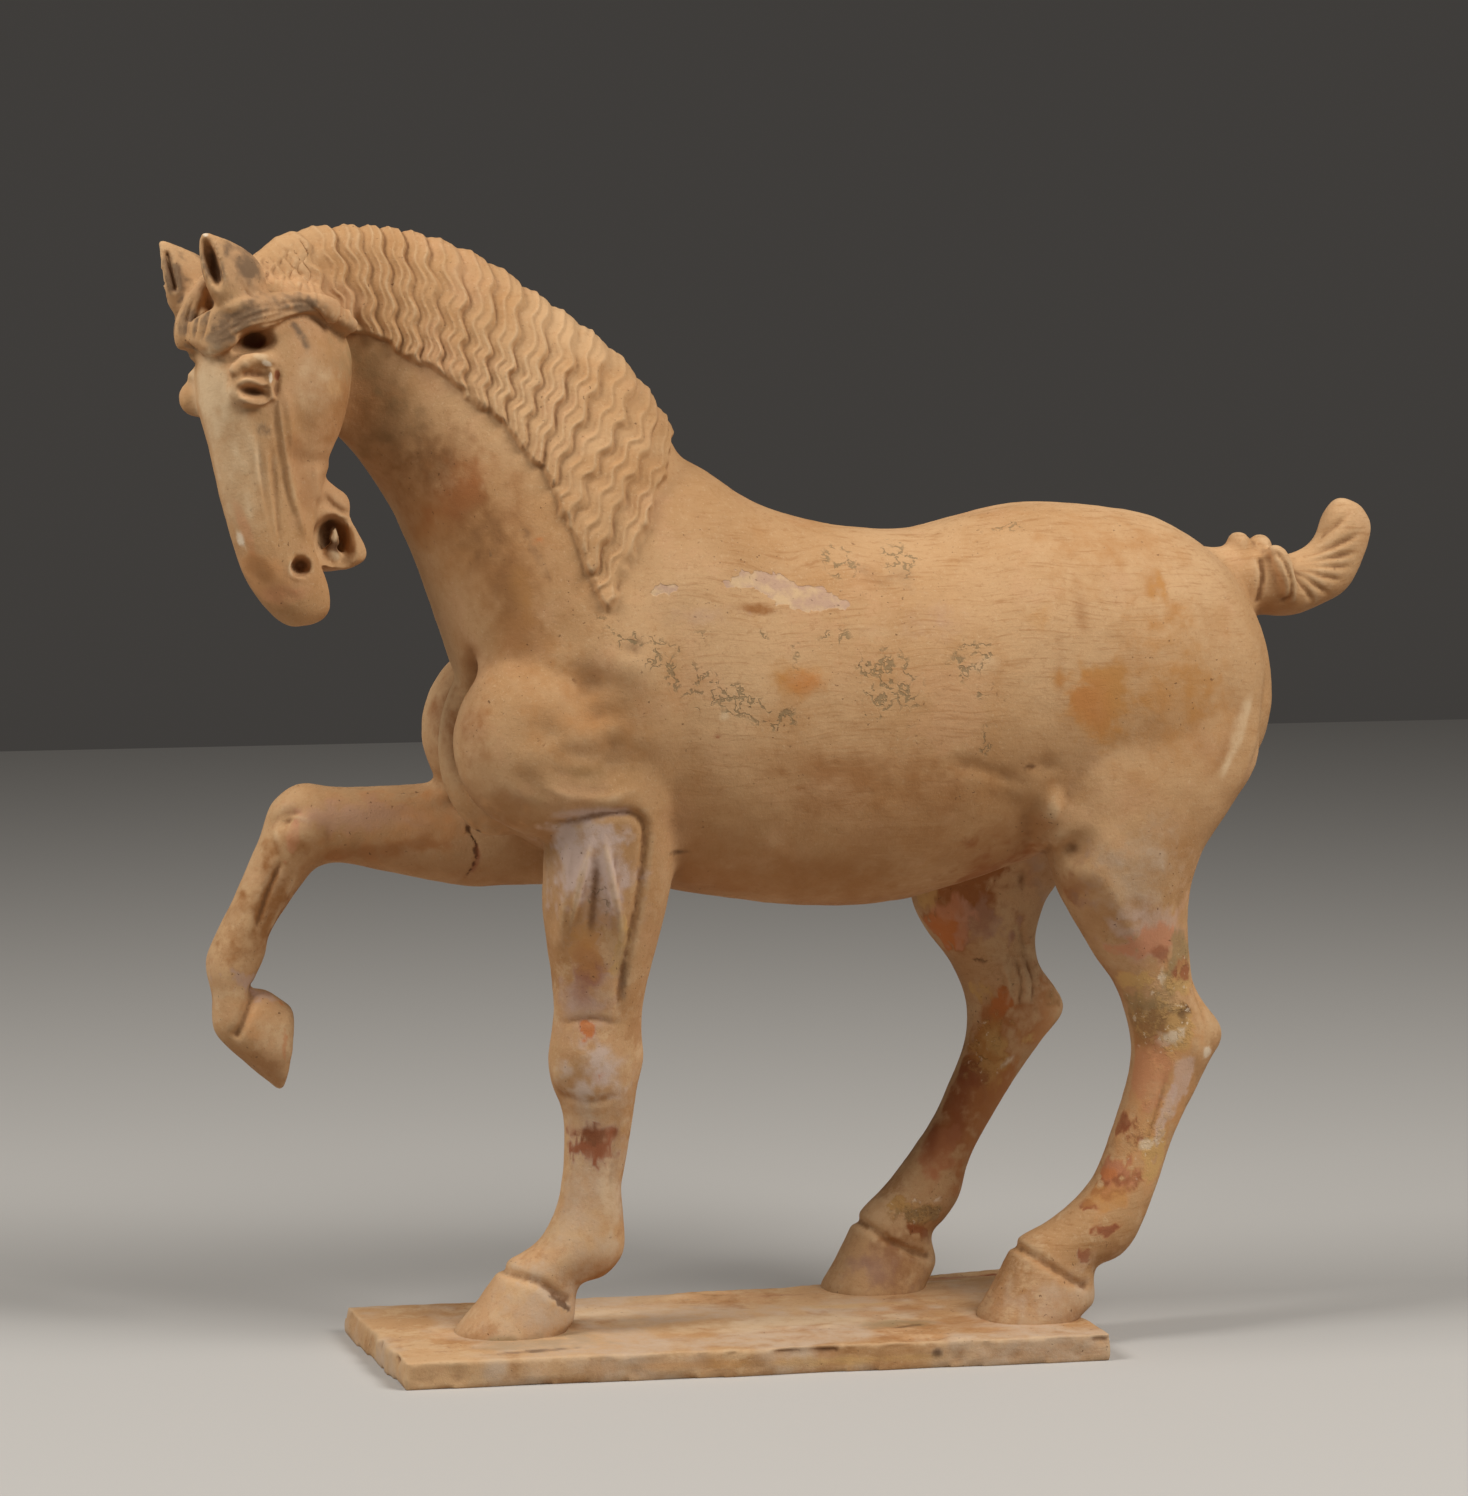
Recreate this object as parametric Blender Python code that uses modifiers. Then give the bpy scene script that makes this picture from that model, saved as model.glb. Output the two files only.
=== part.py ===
"""Pottery dancing horse: an earthenware horse fired in one piece with its thin slab.

The horse faces -X, its left side faces -Y and the slab's underside lies on Z = 0.
The figure is drawn in its own units: one unit is 1/488 of the figure's height, which is 1 mm
here, and heights in the drawing start at the ground under the slab.
"""
import math

import bmesh
import bpy
import numpy as np
from mathutils import Matrix

# Driving dimensions, in metres
FIGURE_HEIGHT = 0.488        # top of the slab to the top of the mane
SLAB_THICKNESS = 0.012
SLAB_TOE_MARGIN = 0.032      # slab ahead of the standing fore hoof
SLAB_HEEL_MARGIN = 0.001     # slab behind the near hind hoof
SLAB_NEAR_MARGIN = 0.025     # slab beside the near hind hoof
SLAB_FAR_MARGIN = 0.004      # slab beside the far hind hoof
SLAB_FRONT_TAPER = 0.0155    # how far each long side comes in at the front end
SLAB_FRONT_REACH = 0.004     # how far the far front corner stands ahead of the near one
SLAB_FRONT_SLOPE = 0.002     # how far that corner runs out further at the bottom
SLAB_FAR_BOW = 0.014         # how far the broken far side bows in
SLAB_CHIP = 0.0012           # how rough the slab's broken edges are
SLAB_EDGE = 0.0025           # how far the worn edge round its top comes in and down
SOLE_LUTING = 0.004          # how deep the soles are set into the slab

# The drawing's own scale
DRAWN_HEIGHT = 488.0
DRAWN_SOLE = 12.0            # the drawing's height at the soles
UNIT = FIGURE_HEIGHT / DRAWN_HEIGHT

# Steps of the modelling, in drawing units
VOXEL = 2.5
RUB_MASSES = 10
RUB_DETAILS = 2
RING_POINTS = 48
SPAN_STEPS = 6
FIGURE_TRIANGLES = 8800

CLAY_COLOUR = (0.56, 0.36, 0.20, 1.0)
CLAY_ROUGHNESS = 0.9

NEAR, FAR = -1, 1
BOTH = (NEAR, FAR)


class Axes:
    """A drawing plane in space: two axes in the plane and one across it."""

    def __init__(self, origin, page_x, page_y, across):
        self.origin = np.array(origin, float)
        self.rows = np.array([page_x, page_y, across], float)

    def local(self, points):
        return (points - self.origin) @ self.rows.T

    def world(self, points):
        return np.asarray(points, float) @ self.rows + self.origin


def turned_head(origin, yaw, tuck, roll):
    """The head's profile plane: forward from the brow, down to the muzzle, and to its left."""
    yaw, tuck, roll = (math.radians(angle) for angle in (yaw, tuck, roll))
    ahead = np.array([-math.cos(yaw), -math.sin(yaw), 0.0])
    left = np.array([math.sin(yaw), -math.cos(yaw), 0.0])
    up = np.array([0.0, 0.0, 1.0])
    left, up = (left * math.cos(roll) + up * math.sin(roll),
                up * math.cos(roll) - left * math.sin(roll))
    down = -up * math.cos(tuck) - ahead * math.sin(tuck)
    forward = ahead * math.cos(tuck) - up * math.sin(tuck)
    return Axes(origin, forward, down, left)


SIDE_VIEW = Axes((0, 0, 0), (1, 0, 0), (0, 0, 1), (0, 1, 0))
CHEST_VIEW = Axes((0, 0, 0), (0, 1, 0), (0, 0, 1), (-1, 0, 0))
RUMP_VIEW = Axes((0, 0, 0), (0, 1, 0), (0, 0, 1), (1, 0, 0))
TOP_VIEW = Axes((0, 0, 0), (1, 0, 0), (0, 1, 0), (0, 0, 1))
HEAD_PROFILE = turned_head(origin=(-226, -24, 424), yaw=27, tuck=5, roll=9)
HEAD_FRONT = Axes(HEAD_PROFILE.origin, HEAD_PROFILE.rows[2], HEAD_PROFILE.rows[1],
                  HEAD_PROFILE.rows[0])

# Sections of the trunk, neck and tail in the side view:
# top or front edge x and z, bottom or back edge x and z, centre y, half width
TRUNK = (
    (-98, 312, -101, 262, 0, 24),
    (-92, 345, -99, 244, 0, 42),
    (-72, 385, -88, 229, 0, 54),
    (-45, 401, -66, 218, 0, 60),
    (-15, 396, -38, 209, 0, 63),
    (16, 377, -2, 201, 0, 64),
    (50, 367, 36, 196, 0, 65),
    (85, 364, 74, 196, 0, 66),
    (112, 370, 108, 203.5, 0, 68),
    (140, 376, 140, 213, 0, 69),
    (175, 375, 176, 224, 0, 68),
    (205, 368, 207, 232, 0, 63),
    (230, 351, 232, 242, 0, 56),
    (246.5, 329, 247.5, 256, 0, 37),
    (255.5, 305, 256.5, 276, 0, 17),
)
NECK = (
    (-212, 482.5, -199, 425, -8, 17),
    (-193, 492.5, -180, 414, 5, 17),
    (-166, 496, -163.5, 402, 12, 18),
    (-137, 494, -152, 388, 12, 22),
    (-109, 484, -142, 371, 9, 29),
    (-79, 465, -133.5, 350, 6, 35),
    (-51, 444.5, -125, 325, 3, 42),
    (-30, 419, -117, 300, 0, 50),
    (-14, 389, -106, 275, 0, 55),
)
TAIL = (
    (218, 358, 240, 312, 0, 16),
    (232, 354, 250, 321, 0, 14),
    (246, 356, 255, 323, 0, 14),
    (258, 354, 262, 322, 0, 15),
    (266, 350, 272, 322, 0, 14),
    (276, 353, 285, 327, 0, 13),
    (281, 357, 297, 334, 0, 12),
    (284, 363, 305, 349, 0, 11),
    (287, 371, 309, 362, 0, 9),
    (292, 377, 304, 373, 0, 5),
)
# Sections of the legs: front edge x and z, back edge x and z, centre y, half width
NEAR_FORE = (
    (-86, 300, -14, 300, -38, 22),
    (-85, 258, -22, 256, -36, 24),
    (-85, 240, -27, 239, -34, 24),
    (-85, 222, -27, 221, -32, 23),
    (-85.5, 205, -30, 203, -30, 22),
    (-83, 187, -34, 185, -27, 20),
    (-80, 169, -38, 167, -25, 17.5),
    (-79, 151, -40, 149, -23, 16),
    (-81.5, 135, -39, 134, -22, 17),
    (-79.5, 122, -41.5, 120, -21, 17),
    (-74, 108, -43, 107, -20, 14),
    (-74, 88, -46, 87, -19, 12.5),
    (-75, 77, -48, 75, -19, 13),
    (-77, 66, -47, 62, -18, 15),
    (-84, 52, -47, 46, -18, 16.5),
    (-93, 46, -56, 35, -17, 15.5),
    (-101, 41, -67, 32, -16, 16),
    (-112, 26, -69, 16, -16, 20),
    (-123, 12, -74, 12, -16, 23),
)
RAISED_FORE = (
    (-60, 262, -60, 204, 34, 24),
    (-91, 254, -91, 204, 38, 22),
    (-118, 251, -108, 204, 39, 19.5),
    (-145, 250, -143, 211.5, 40, 16.5),
    (-166, 250, -163.5, 216, 40, 15),
    (-181, 252, -173, 214.5, 40, 15.5),
    (-194, 243, -176.5, 212, 40, 15.5),
    (-199, 228, -181.5, 205, 40, 13),
    (-207, 210, -187.5, 197, 40, 11),
    (-216, 192, -195.5, 184, 40, 10.5),
    (-223, 177, -197, 175.5, 40, 11.5),
    (-223.5, 169, -201, 167.5, 40, 12),
    (-221, 158, -203, 162.5, 40, 11.5),
    (-221, 143.5, -199.5, 159, 40, 12.5),
    (-215, 135, -197, 161, 40, 14),
    (-203, 124, -189, 155, 40, 16),
    (-190, 113, -184, 152, 40, 16.5),
)
NEAR_HIND = (
    (128, 300, 242, 300, -38, 24),
    (132, 262, 240, 262, -41, 26),
    (139, 244, 228, 242, -42, 26),
    (141, 226, 215, 224, -42, 25),
    (146, 206, 208.5, 206, -41, 23),
    (154.5, 190, 207.5, 188, -40, 20),
    (166.5, 172, 209, 172, -39, 17),
    (176, 158, 213, 156, -38, 16),
    (182, 139, 225.5, 138, -38, 16),
    (183, 126, 218.5, 124, -38, 15),
    (179, 108, 209.5, 106, -38, 13.5),
    (173, 90, 201.5, 89, -38, 12.5),
    (166, 73, 195.5, 72, -38, 14),
    (157, 63, 189.5, 57, -38, 16),
    (145, 54, 182.5, 43, -38, 16.5),
    (134, 49, 174.5, 36, -38, 16),
    (128, 45, 166, 34, -38, 16),
    (127, 42, 165, 23, -38, 18),
    (119, 26, 165, 17, -38, 21),
    (111, 12, 157, 12, -38, 24),
)
FAR_HIND = (
    (100, 300, 215, 290, 38, 24),
    (98, 255, 208, 250, 41, 26),
    (97, 226, 194, 225, 42, 25),
    (101, 200, 177, 208, 42, 22),
    (107, 182, 163, 180, 42, 19),
    (121, 163, 163, 161, 42, 16),
    (127, 151, 172, 149, 42, 16),
    (130, 139, 176, 138, 42, 16),
    (129, 125, 165, 124, 42, 14.5),
    (122, 107, 152, 106, 42, 13),
    (113, 88, 140, 87, 42, 12),
    (101, 70, 130, 69, 42, 14),
    (91, 58, 126, 54, 42, 16),
    (81, 49, 119, 43, 42, 16),
    (77, 44, 112, 36, 42, 16),
    (74, 39, 115, 24, 42, 18),
    (68, 26, 113, 19, 42, 21),
    (60, 12, 109, 12, 42, 23),
)
# Sections of the head in its profile: front edge, back edge, how far left, half width
SKULL = (
    (-16, -48, -36, -48, 0, 10),
    (-6, -40, -54, -38, 0, 18),
    (3, -22, -65, -20, 0, 24),
    (5.2, 0, -65, 0, 0, 25),
    (3.7, 20, -58, 19, 0, 22),
    (3.2, 39, -47, 38, 0, 17),
    (1.7, 56, -38, 54, 0, 15.5),
    (-0.8, 72, -34.5, 71, 0, 15),
    (-5.5, 84, -38, 85, 0, 14),
    (-12.5, 95, -38, 97, 0, 11),
    (-19, 102, -33, 102, 0, 5),
)
LOWER_JAW = (
    (-28, 34, -43, 34, 0, 10),
    (-29, 42, -49, 42, 0, 10.5),
    (-30, 49, -57, 48, 0, 10.5),
    (-31, 54, -58.5, 53, 0, 10.5),
    (-31.5, 59, -57, 59, 0, 11),
    (-32, 65, -59.5, 65, 0, 11.5),
    (-33, 72, -62, 73, 0, 12),
    (-34, 76, -61, 77.5, 0, 11.5),
    (-40, 79, -53, 80.5, 0, 8),
)
EAR = (
    (0, -34, -22, -36, 16, 8),
    (4, -44, -24.5, -45, 16, 8.5),
    (5.5, -52, -22.5, -53, 16, 8),
    (6, -58, -17.5, -59.5, 16, 6.5),
    (6, -63, -8.5, -65, 16, 4.5),
    (5, -67.5, -1, -68.5, 16, 2.5),
    (3.5, -70, 1.5, -70, 16, 1),
)
TEMPLE_LOCK = (
    (8, -34, 9, -25, 0, 4),
    (3, -37, 4, -18, 9, 6),
    (-5, -39, -5, -21, 16, 6.5),
    (-14, -40, -13, -24.5, 19, 6.5),
    (-24, -40, -21, -26, 21, 6),
    (-34, -39, -31, -29, 22, 5.5),
    (-43, -35.5, -41, -28, 22.5, 5),
    (-52, -30, -49, -22, 22, 4.5),
    (-61, -21, -58, -18, 21.5, 3),
)
FAR_EAR_LIFT = 2.0
# Cords and locks: page x, page y, across the page, radius
FORELOCK = ((-9, -53, -2, 3.5), (-6, -46, -3, 6), (-2, -38, -5, 8), (1.5, -30, -7, 8.5),
            (2, -23, -8, 6.5))
NEAR_BROW = ((3, -9, 17, 2.5), (-4, -12, 20, 3.5), (-12, -12.5, 21.5, 3.5), (-18, -7, 21, 2))
FAR_BROW = ((1, -11, -15, 2.5), (-6, -14, -18, 3), (-13, -12, -20, 3), (-18, -6, -19, 2))
# The mouth's opening in the head's profile
MOUTH = (-42, 68)
MOUTH_RADII = (10.5, 10)
TAIL_STRAP = ((255, 354, -12, 2), (259, 351, -15, 4), (262, 343, -16, 4.5),
              (265, 334, -14, 4), (268, 329, -10, 2))

# The mane's locks, near side: where each starts on the crest and where it ends on the neck
LOCK_ROOTS = ((-207, 488), (-181, 500), (-161, 502), (-146, 501), (-131, 497), (-110, 488),
              (-90, 478), (-70, 465), (-51, 449), (-33, 431), (-20, 414))
LOCK_ENDS = ((-190, 466), (-167, 453), (-152, 449), (-139, 439), (-126, 432), (-114, 421),
             (-103, 411), (-92, 395), (-84, 386), (-74, 361), (-62, 330))
LOCKS = 15
LOCK_LIFT = 3.2
LOCK_RIDGE = 2.0
CREST_SCALLOP = 1.6
CRIMP_LENGTH = 14.0
CRIMP_SWING = 0.17
# Where the mane starts and ends along the row of locks, and how soft its edge is
MANE_EDGE = 0.05


def smooth_curve(rows, steps=SPAN_STEPS):
    """A Catmull-Rom curve through the rows, which may hold any numbers."""
    rows = np.array(rows, float)
    ends = np.vstack([2 * rows[0] - rows[1], rows, 2 * rows[-1] - rows[-2]])
    out = []
    for i in range(len(rows) - 1):
        a, b, c, d = ends[i:i + 4]
        for t in np.arange(steps) / steps:
            out.append(0.5 * (2 * b + (c - a) * t + (2 * a - 5 * b + 4 * c - d) * t ** 2
                              + (3 * b - a - 3 * c + d) * t ** 3))
    out.append(rows[-1])
    return np.array(out)


def add_tube(clay, rings):
    """One closed tube through rings of equally many points."""
    loops = [[clay.verts.new(point) for point in ring] for ring in rings]
    for one, two in zip(loops, loops[1:]):
        for j in range(len(one)):
            k = (j + 1) % len(one)
            clay.faces.new((one[j], one[k], two[k], two[j]))
    clay.faces.new(loops[0][::-1])
    clay.faces.new(loops[-1])


def add_loft(clay, axes, sections, square=2.2, egg=0.0, side=1):
    """A body part from sections, each a rounded oval between its two drawn edges.

    square is 2 for an ellipse and more for a boxier oval, and egg narrows the first edge.
    """
    angles = np.arange(RING_POINTS) * 2 * math.pi / RING_POINTS
    along = np.sign(np.cos(angles)) * np.abs(np.cos(angles)) ** (2 / square)
    across = np.sign(np.sin(angles)) * np.abs(np.sin(angles)) ** (2 / square)
    across = across * (1 - egg * along)
    rings = []
    for ax, ay, bx, by, centre, half in smooth_curve(sections):
        u = (ax + bx) / 2 + (ax - bx) / 2 * along
        v = (ay + by) / 2 + (ay - by) / 2 * along
        rings.append(axes.world(np.stack([u, v, centre * side + half * across], 1)))
    add_tube(clay, rings)


def add_ball(clay, axes, centre, radii, tilt=0.0):
    """An ellipsoid muscle; tilt turns it in the drawing plane."""
    turn = np.array(Matrix.Rotation(math.radians(tilt), 3, "Z"))
    shape = axes.rows.T @ turn @ np.diag(radii)
    place = Matrix.Identity(4)
    for i in range(3):
        for j in range(3):
            place[i][j] = shape[i][j]
        place[i][3] = axes.world(centre)[i]
    bmesh.ops.create_uvsphere(clay, u_segments=24, v_segments=16, radius=1.0, matrix=place)


def add_strand(clay, axes, points, side=1, flatten=1.0):
    """A lock or cord along its points; flatten thins it across the page."""
    rows = smooth_curve(points)
    rows[:, 2] *= side
    centres = axes.world(rows[:, :3])
    ways = np.gradient(centres, axis=0)
    ways /= np.linalg.norm(ways, axis=1)[:, None]
    angles = np.arange(RING_POINTS // 2) * 4 * math.pi / RING_POINTS
    rings = []
    for centre, way, radius in zip(centres, ways, rows[:, 3]):
        out = axes.rows[2] - way * (axes.rows[2] @ way)
        out /= np.linalg.norm(out)
        lift = np.cross(way, out)
        rings.append([centre + radius * (math.cos(a) * lift + flatten * math.sin(a) * out)
                      for a in angles])
    add_tube(clay, rings)


def model_masses():
    """The rough forms: trunk, neck, legs, tail and skull with the big muscles."""
    clay = bmesh.new()
    add_loft(clay, SIDE_VIEW, TRUNK, square=2.15)
    add_loft(clay, SIDE_VIEW, NECK, egg=0.12)
    add_loft(clay, SIDE_VIEW, TAIL)
    add_loft(clay, SIDE_VIEW, RAISED_FORE)
    for leg in (NEAR_FORE, NEAR_HIND, FAR_HIND):
        toe, ground, heel, _, centre, half = leg[-1]
        luted = (toe, ground - SOLE_LUTING / UNIT, heel, ground - SOLE_LUTING / UNIT, centre, half)
        add_loft(clay, SIDE_VIEW, leg + (luted,))
    add_loft(clay, HEAD_PROFILE, SKULL, square=2.5, egg=0.1)
    for side in BOTH:
        add_ball(clay, SIDE_VIEW, (-81 - side, 275, 33 * side), (45.5, 44, 29), tilt=-8)
        add_ball(clay, SIDE_VIEW, (-46, 300, 36 * side), (38, 64, 29), tilt=12)
        add_ball(clay, SIDE_VIEW, (181, 296, 32 * side), (58, 62, 37), tilt=-20)
        add_ball(clay, HEAD_PROFILE, (-33, -10, 14 * side), (30, 37, 13))
    add_ball(clay, SIDE_VIEW, (-98, 273, 0), (28, 44, 15), tilt=-4)
    return clay


def model_details(clay):
    """The smaller forms laid on the masses: ears, forelock, eyes, jaw, hoofs' heels, tail ties."""
    add_loft(clay, HEAD_PROFILE, LOWER_JAW, square=2.3)
    add_loft(clay, HEAD_PROFILE, TEMPLE_LOCK)
    add_strand(clay, HEAD_PROFILE, FORELOCK, flatten=0.8)
    add_loft(clay, HEAD_PROFILE, EAR)
    add_loft(clay, HEAD_PROFILE, [(a, b - FAR_EAR_LIFT, c, d - FAR_EAR_LIFT, left, half)
                                  for a, b, c, d, left, half in EAR], side=-1)
    add_strand(clay, HEAD_PROFILE, NEAR_BROW)
    add_strand(clay, HEAD_PROFILE, FAR_BROW)
    add_ball(clay, HEAD_PROFILE, (-7, -1, 15.5), (10.5, 9, 8))
    add_ball(clay, HEAD_PROFILE, (-3.8, -2.7, -19), (8, 8.5, 8))
    for x, z in ((245, 355), (255.5, 353.5)):
        add_ball(clay, SIDE_VIEW, (x, z, 0), (5, 6, 9))
    add_strand(clay, SIDE_VIEW, TAIL_STRAP)
    add_strand(clay, SIDE_VIEW, TAIL_STRAP, side=-1)


class Skin:
    """The clay's surface as arrays, for carving: points and the way that each one faces."""

    def __init__(self, mesh):
        self.mesh = mesh
        self.points = np.empty(len(mesh.vertices) * 3, np.float32)
        mesh.vertices.foreach_get("co", self.points)
        self.points = self.points.reshape(-1, 3).astype(float)
        self.face_ways()

    def face_ways(self):
        """Read the normals afresh from the carved points."""
        self.mesh.vertices.foreach_set("co", self.points.astype(np.float32).ravel())
        self.mesh.update()
        normals = np.empty(len(self.points) * 3, np.float32)
        self.mesh.vertices.foreach_get("normal", normals)
        self.normals = normals.reshape(-1, 3).astype(float)

    def push(self, amount, way=None):
        self.points += (self.normals if way is None else way) * amount[:, None]


def ramp(values, low, high):
    """0 below low, 1 above high and smooth between."""
    t = np.clip((values - low) / (high - low), 0, 1)
    return t * t * (3 - 2 * t)


def facing(skin, way):
    return ramp(skin.normals @ way, 0.0, 0.45)


def line_places(points, line):
    """How far each point is from a polyline, left of it or right, and how far along it."""
    lengths = np.linalg.norm(np.diff(line, axis=0), axis=1)
    run = np.concatenate([[0], np.cumsum(lengths)]) / lengths.sum()
    best = np.full(len(points), np.inf)
    spot = np.zeros(len(points))
    left = np.zeros(len(points), bool)
    for start, end, from_run, to_run in zip(line, line[1:], run, run[1:]):
        step = end - start
        t = np.clip((points - start) @ step / (step @ step), 0, 1)
        off = points - start - t[:, None] * step
        gap = np.linalg.norm(off, axis=1)
        closer = gap < best
        best[closer] = gap[closer]
        spot[closer] = (from_run + t * (to_run - from_run))[closer]
        left[closer] = (step[0] * off[:, 1] - step[1] * off[:, 0])[closer] > 0
    return best, left, spot


def draw_line(skin, axes, line, reach, profile, side=None, zone=None, fade=0.35, way=None):
    """Move the skin near a line drawn on the page by a profile across that line.

    profile takes the distance from the line, which is negative on its right. side keeps to
    the skin that faces that way across the page, and zone to a range across it.
    """
    local = axes.local(skin.points)
    line = smooth_curve(line)
    low, high = line.min(axis=0) - reach, line.max(axis=0) + reach
    here = np.all((local[:, :2] > low) & (local[:, :2] < high), axis=1)
    if zone is not None:
        here &= (local[:, 2] > zone[0]) & (local[:, 2] < zone[1])
    gap, left, spot = line_places(local[here, :2], line)
    ends = np.minimum(spot, 1 - spot)
    amount = np.zeros(len(local))
    amount[here] = profile(np.where(left, gap, -gap)) * ramp(ends, -0.01, fade)
    if side is not None:
        amount *= facing(skin, axes.rows[2] * side)
    skin.push(amount, way)


def stroke(skin, axes, line, width, lift, side=None, zone=None, fade=0.35, way=None):
    """A soft ridge along a line, or a groove where lift is negative."""
    draw_line(skin, axes, line, 3 * width, lambda gap: lift * np.exp(-(gap / width) ** 2),
              side, zone, fade, way)


def step(skin, axes, line, lift, soft, edge, side=None, zone=None, fade=0.25, drop=0.0, way=None):
    """A crisp step along a line: the skin left of it is raised and the skin right of it sunk.

    Both fall away over soft, and edge is half the width of the step itself.
    """
    def profile(gap):
        over = ramp(gap, -edge, edge)
        return (lift * over - drop * (1 - over)) * np.exp(-np.abs(gap) / soft)
    draw_line(skin, axes, line, 3 * soft, profile, side, zone, fade, way)


def dent(skin, axes, centre, radii, lift, side, firm=1.0, way=None, tilt=0.0):
    """A dimple or bump; firm over 1 gives it a flat floor and a steep rim."""
    local = axes.local(skin.points)
    turn = math.radians(tilt)
    x, y = local[:, 0] - centre[0], local[:, 1] - centre[1]
    u = (x * math.cos(turn) + y * math.sin(turn)) / radii[0]
    v = (y * math.cos(turn) - x * math.sin(turn)) / radii[1]
    amount = lift * np.exp(-(u * u + v * v) ** firm) * facing(skin, axes.rows[2] * side)
    skin.push(amount, way)


def lock_places(page):
    """Where points lie in the mane: along the row of locks, down the lock, and its length."""
    roots = smooth_curve(LOCK_ROOTS, 4)
    ends = smooth_curve(LOCK_ENDS, 4)
    ways = ends - roots
    lengths = np.linalg.norm(ways, axis=1)
    offsets = page[:, None, :] - roots[None]
    sides = (ways[None, :, 0] * offsets[..., 1] - ways[None, :, 1] * offsets[..., 0]) / lengths
    last = len(roots) - 1
    behind = np.argmax(sides < 0, axis=1)
    behind[np.all(sides >= 0, axis=1)] = last
    behind = np.clip(behind, 1, last)
    rows = np.arange(len(page))
    one, two = sides[rows, behind - 1], sides[rows, behind]
    part = np.clip(one / (one - two + 1e-9), -2, 3)
    row = (behind - 1 + part) / last
    mix = part[:, None]
    root = roots[behind - 1] * (1 - mix) + roots[behind] * mix
    way = ways[behind - 1] * (1 - mix) + ways[behind] * mix
    down = ((page - root) * way).sum(axis=1) / (way * way).sum(axis=1)
    return row, down, np.linalg.norm(way, axis=1)


def carve_mane(skin):
    """The crimped locks: a raised sheet on both sides of the crest, in wavy ridges.

    Each lock rises slowly to its ridge and drops behind it, and is rounder on the crest.
    """
    page = SIDE_VIEW.local(skin.points)[:, :2]
    here = (page[:, 0] > -225) & (page[:, 0] < 0) & (page[:, 1] > 320)
    row, down, length = lock_places(page[here])
    inside = ramp(1 - down, 0, MANE_EDGE) * ramp(row, -0.02, 0.1) * ramp(1 - row, -0.01, 0.02)
    wave = np.sin(2 * math.pi * down * length / CRIMP_LENGTH)
    phase = (row * LOCKS + CRIMP_SWING * wave * ramp(down, 0.0, 0.3)) % 1
    ridge = phase ** 1.5 * ramp(1 - phase, 0, 0.2)
    crest = ramp(0.25 - down, 0, 0.25)
    round_lock = np.sin(math.pi * phase)
    form = LOCK_RIDGE * (ridge - 0.4) * (1 - crest) + CREST_SCALLOP * (round_lock - 0.6) * crest
    amount = np.zeros(len(page))
    amount[here] = inside * (LOCK_LIFT + form)
    skin.push(amount)


def carve_chest(skin):
    for side in BOTH:
        groove = [(side * y, z) for y, z in ((27, 318), (18, 302), (13, 284), (12, 264), (16, 250),
                                             (26, 238), (38, 230))]
        stroke(skin, CHEST_VIEW, groove, 4, -6, side=1, fade=0.2)
        stroke(skin, SIDE_VIEW, ((-118, 304), (-112, 311), (-106, 320), (-101, 332), (-97, 348)), 6, -2,
               side, fade=0.5)
        step(skin, SIDE_VIEW, ((-84, 308), (-77, 299), (-68, 292), (-59, 292), (-50, 300)), 1.8, 14, 6,
             side, fade=0.5)
        dent(skin, SIDE_VIEW, (-67, 288), (16, 8), -1.2, side)
        dent(skin, SIDE_VIEW, (-88, 281), (7, 5), -1.2, side, tilt=-35)
        dent(skin, SIDE_VIEW, (-76, 276), (10, 8), 1.2, side)
        dent(skin, SIDE_VIEW, (-60, 264), (12, 6), -1.2, side)
        stroke(skin, SIDE_VIEW, ((-112, 268), (-104, 257), (-94, 252), (-80, 250), (-64, 252)), 4, 1.2,
               side)


def carve_hindquarters(skin):
    for side in BOTH:
        step(skin, SIDE_VIEW, ((140, 208), (136, 220), (131, 233), (124, 244), (112, 252), (96, 256)),
             -2.2, 12, 5, side, fade=0.5)
        dent(skin, SIDE_VIEW, (139, 243), (7, 7), 2.2, side)
        dent(skin, SIDE_VIEW, (143, 229), (6, 6), 1.6, side)
        dent(skin, SIDE_VIEW, (152, 228), (6, 5), -1.5, side)
        stroke(skin, SIDE_VIEW, ((154, 224), (164, 207), (175, 188), (187, 168)), 4.5, 1.4, side,
               fade=0.4)
        stroke(skin, SIDE_VIEW, ((196, 214), (199, 196), (201, 178), (204, 160)), 3, -1.2, side,
               fade=0.4)
        stroke(skin, SIDE_VIEW, ((243, 318), (245, 300), (243, 284), (238, 266), (229, 248), (218, 236)),
               3, -1.4, side)
    stroke(skin, TOP_VIEW, ((80, 0), (130, 0), (180, 0), (235, 0)), 9, -2, side=1, fade=0.5)
    stroke(skin, RUMP_VIEW, ((0, 322), (0, 290), (0, 260), (0, 225)), 8, -3.5, side=1, fade=0.5)


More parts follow.
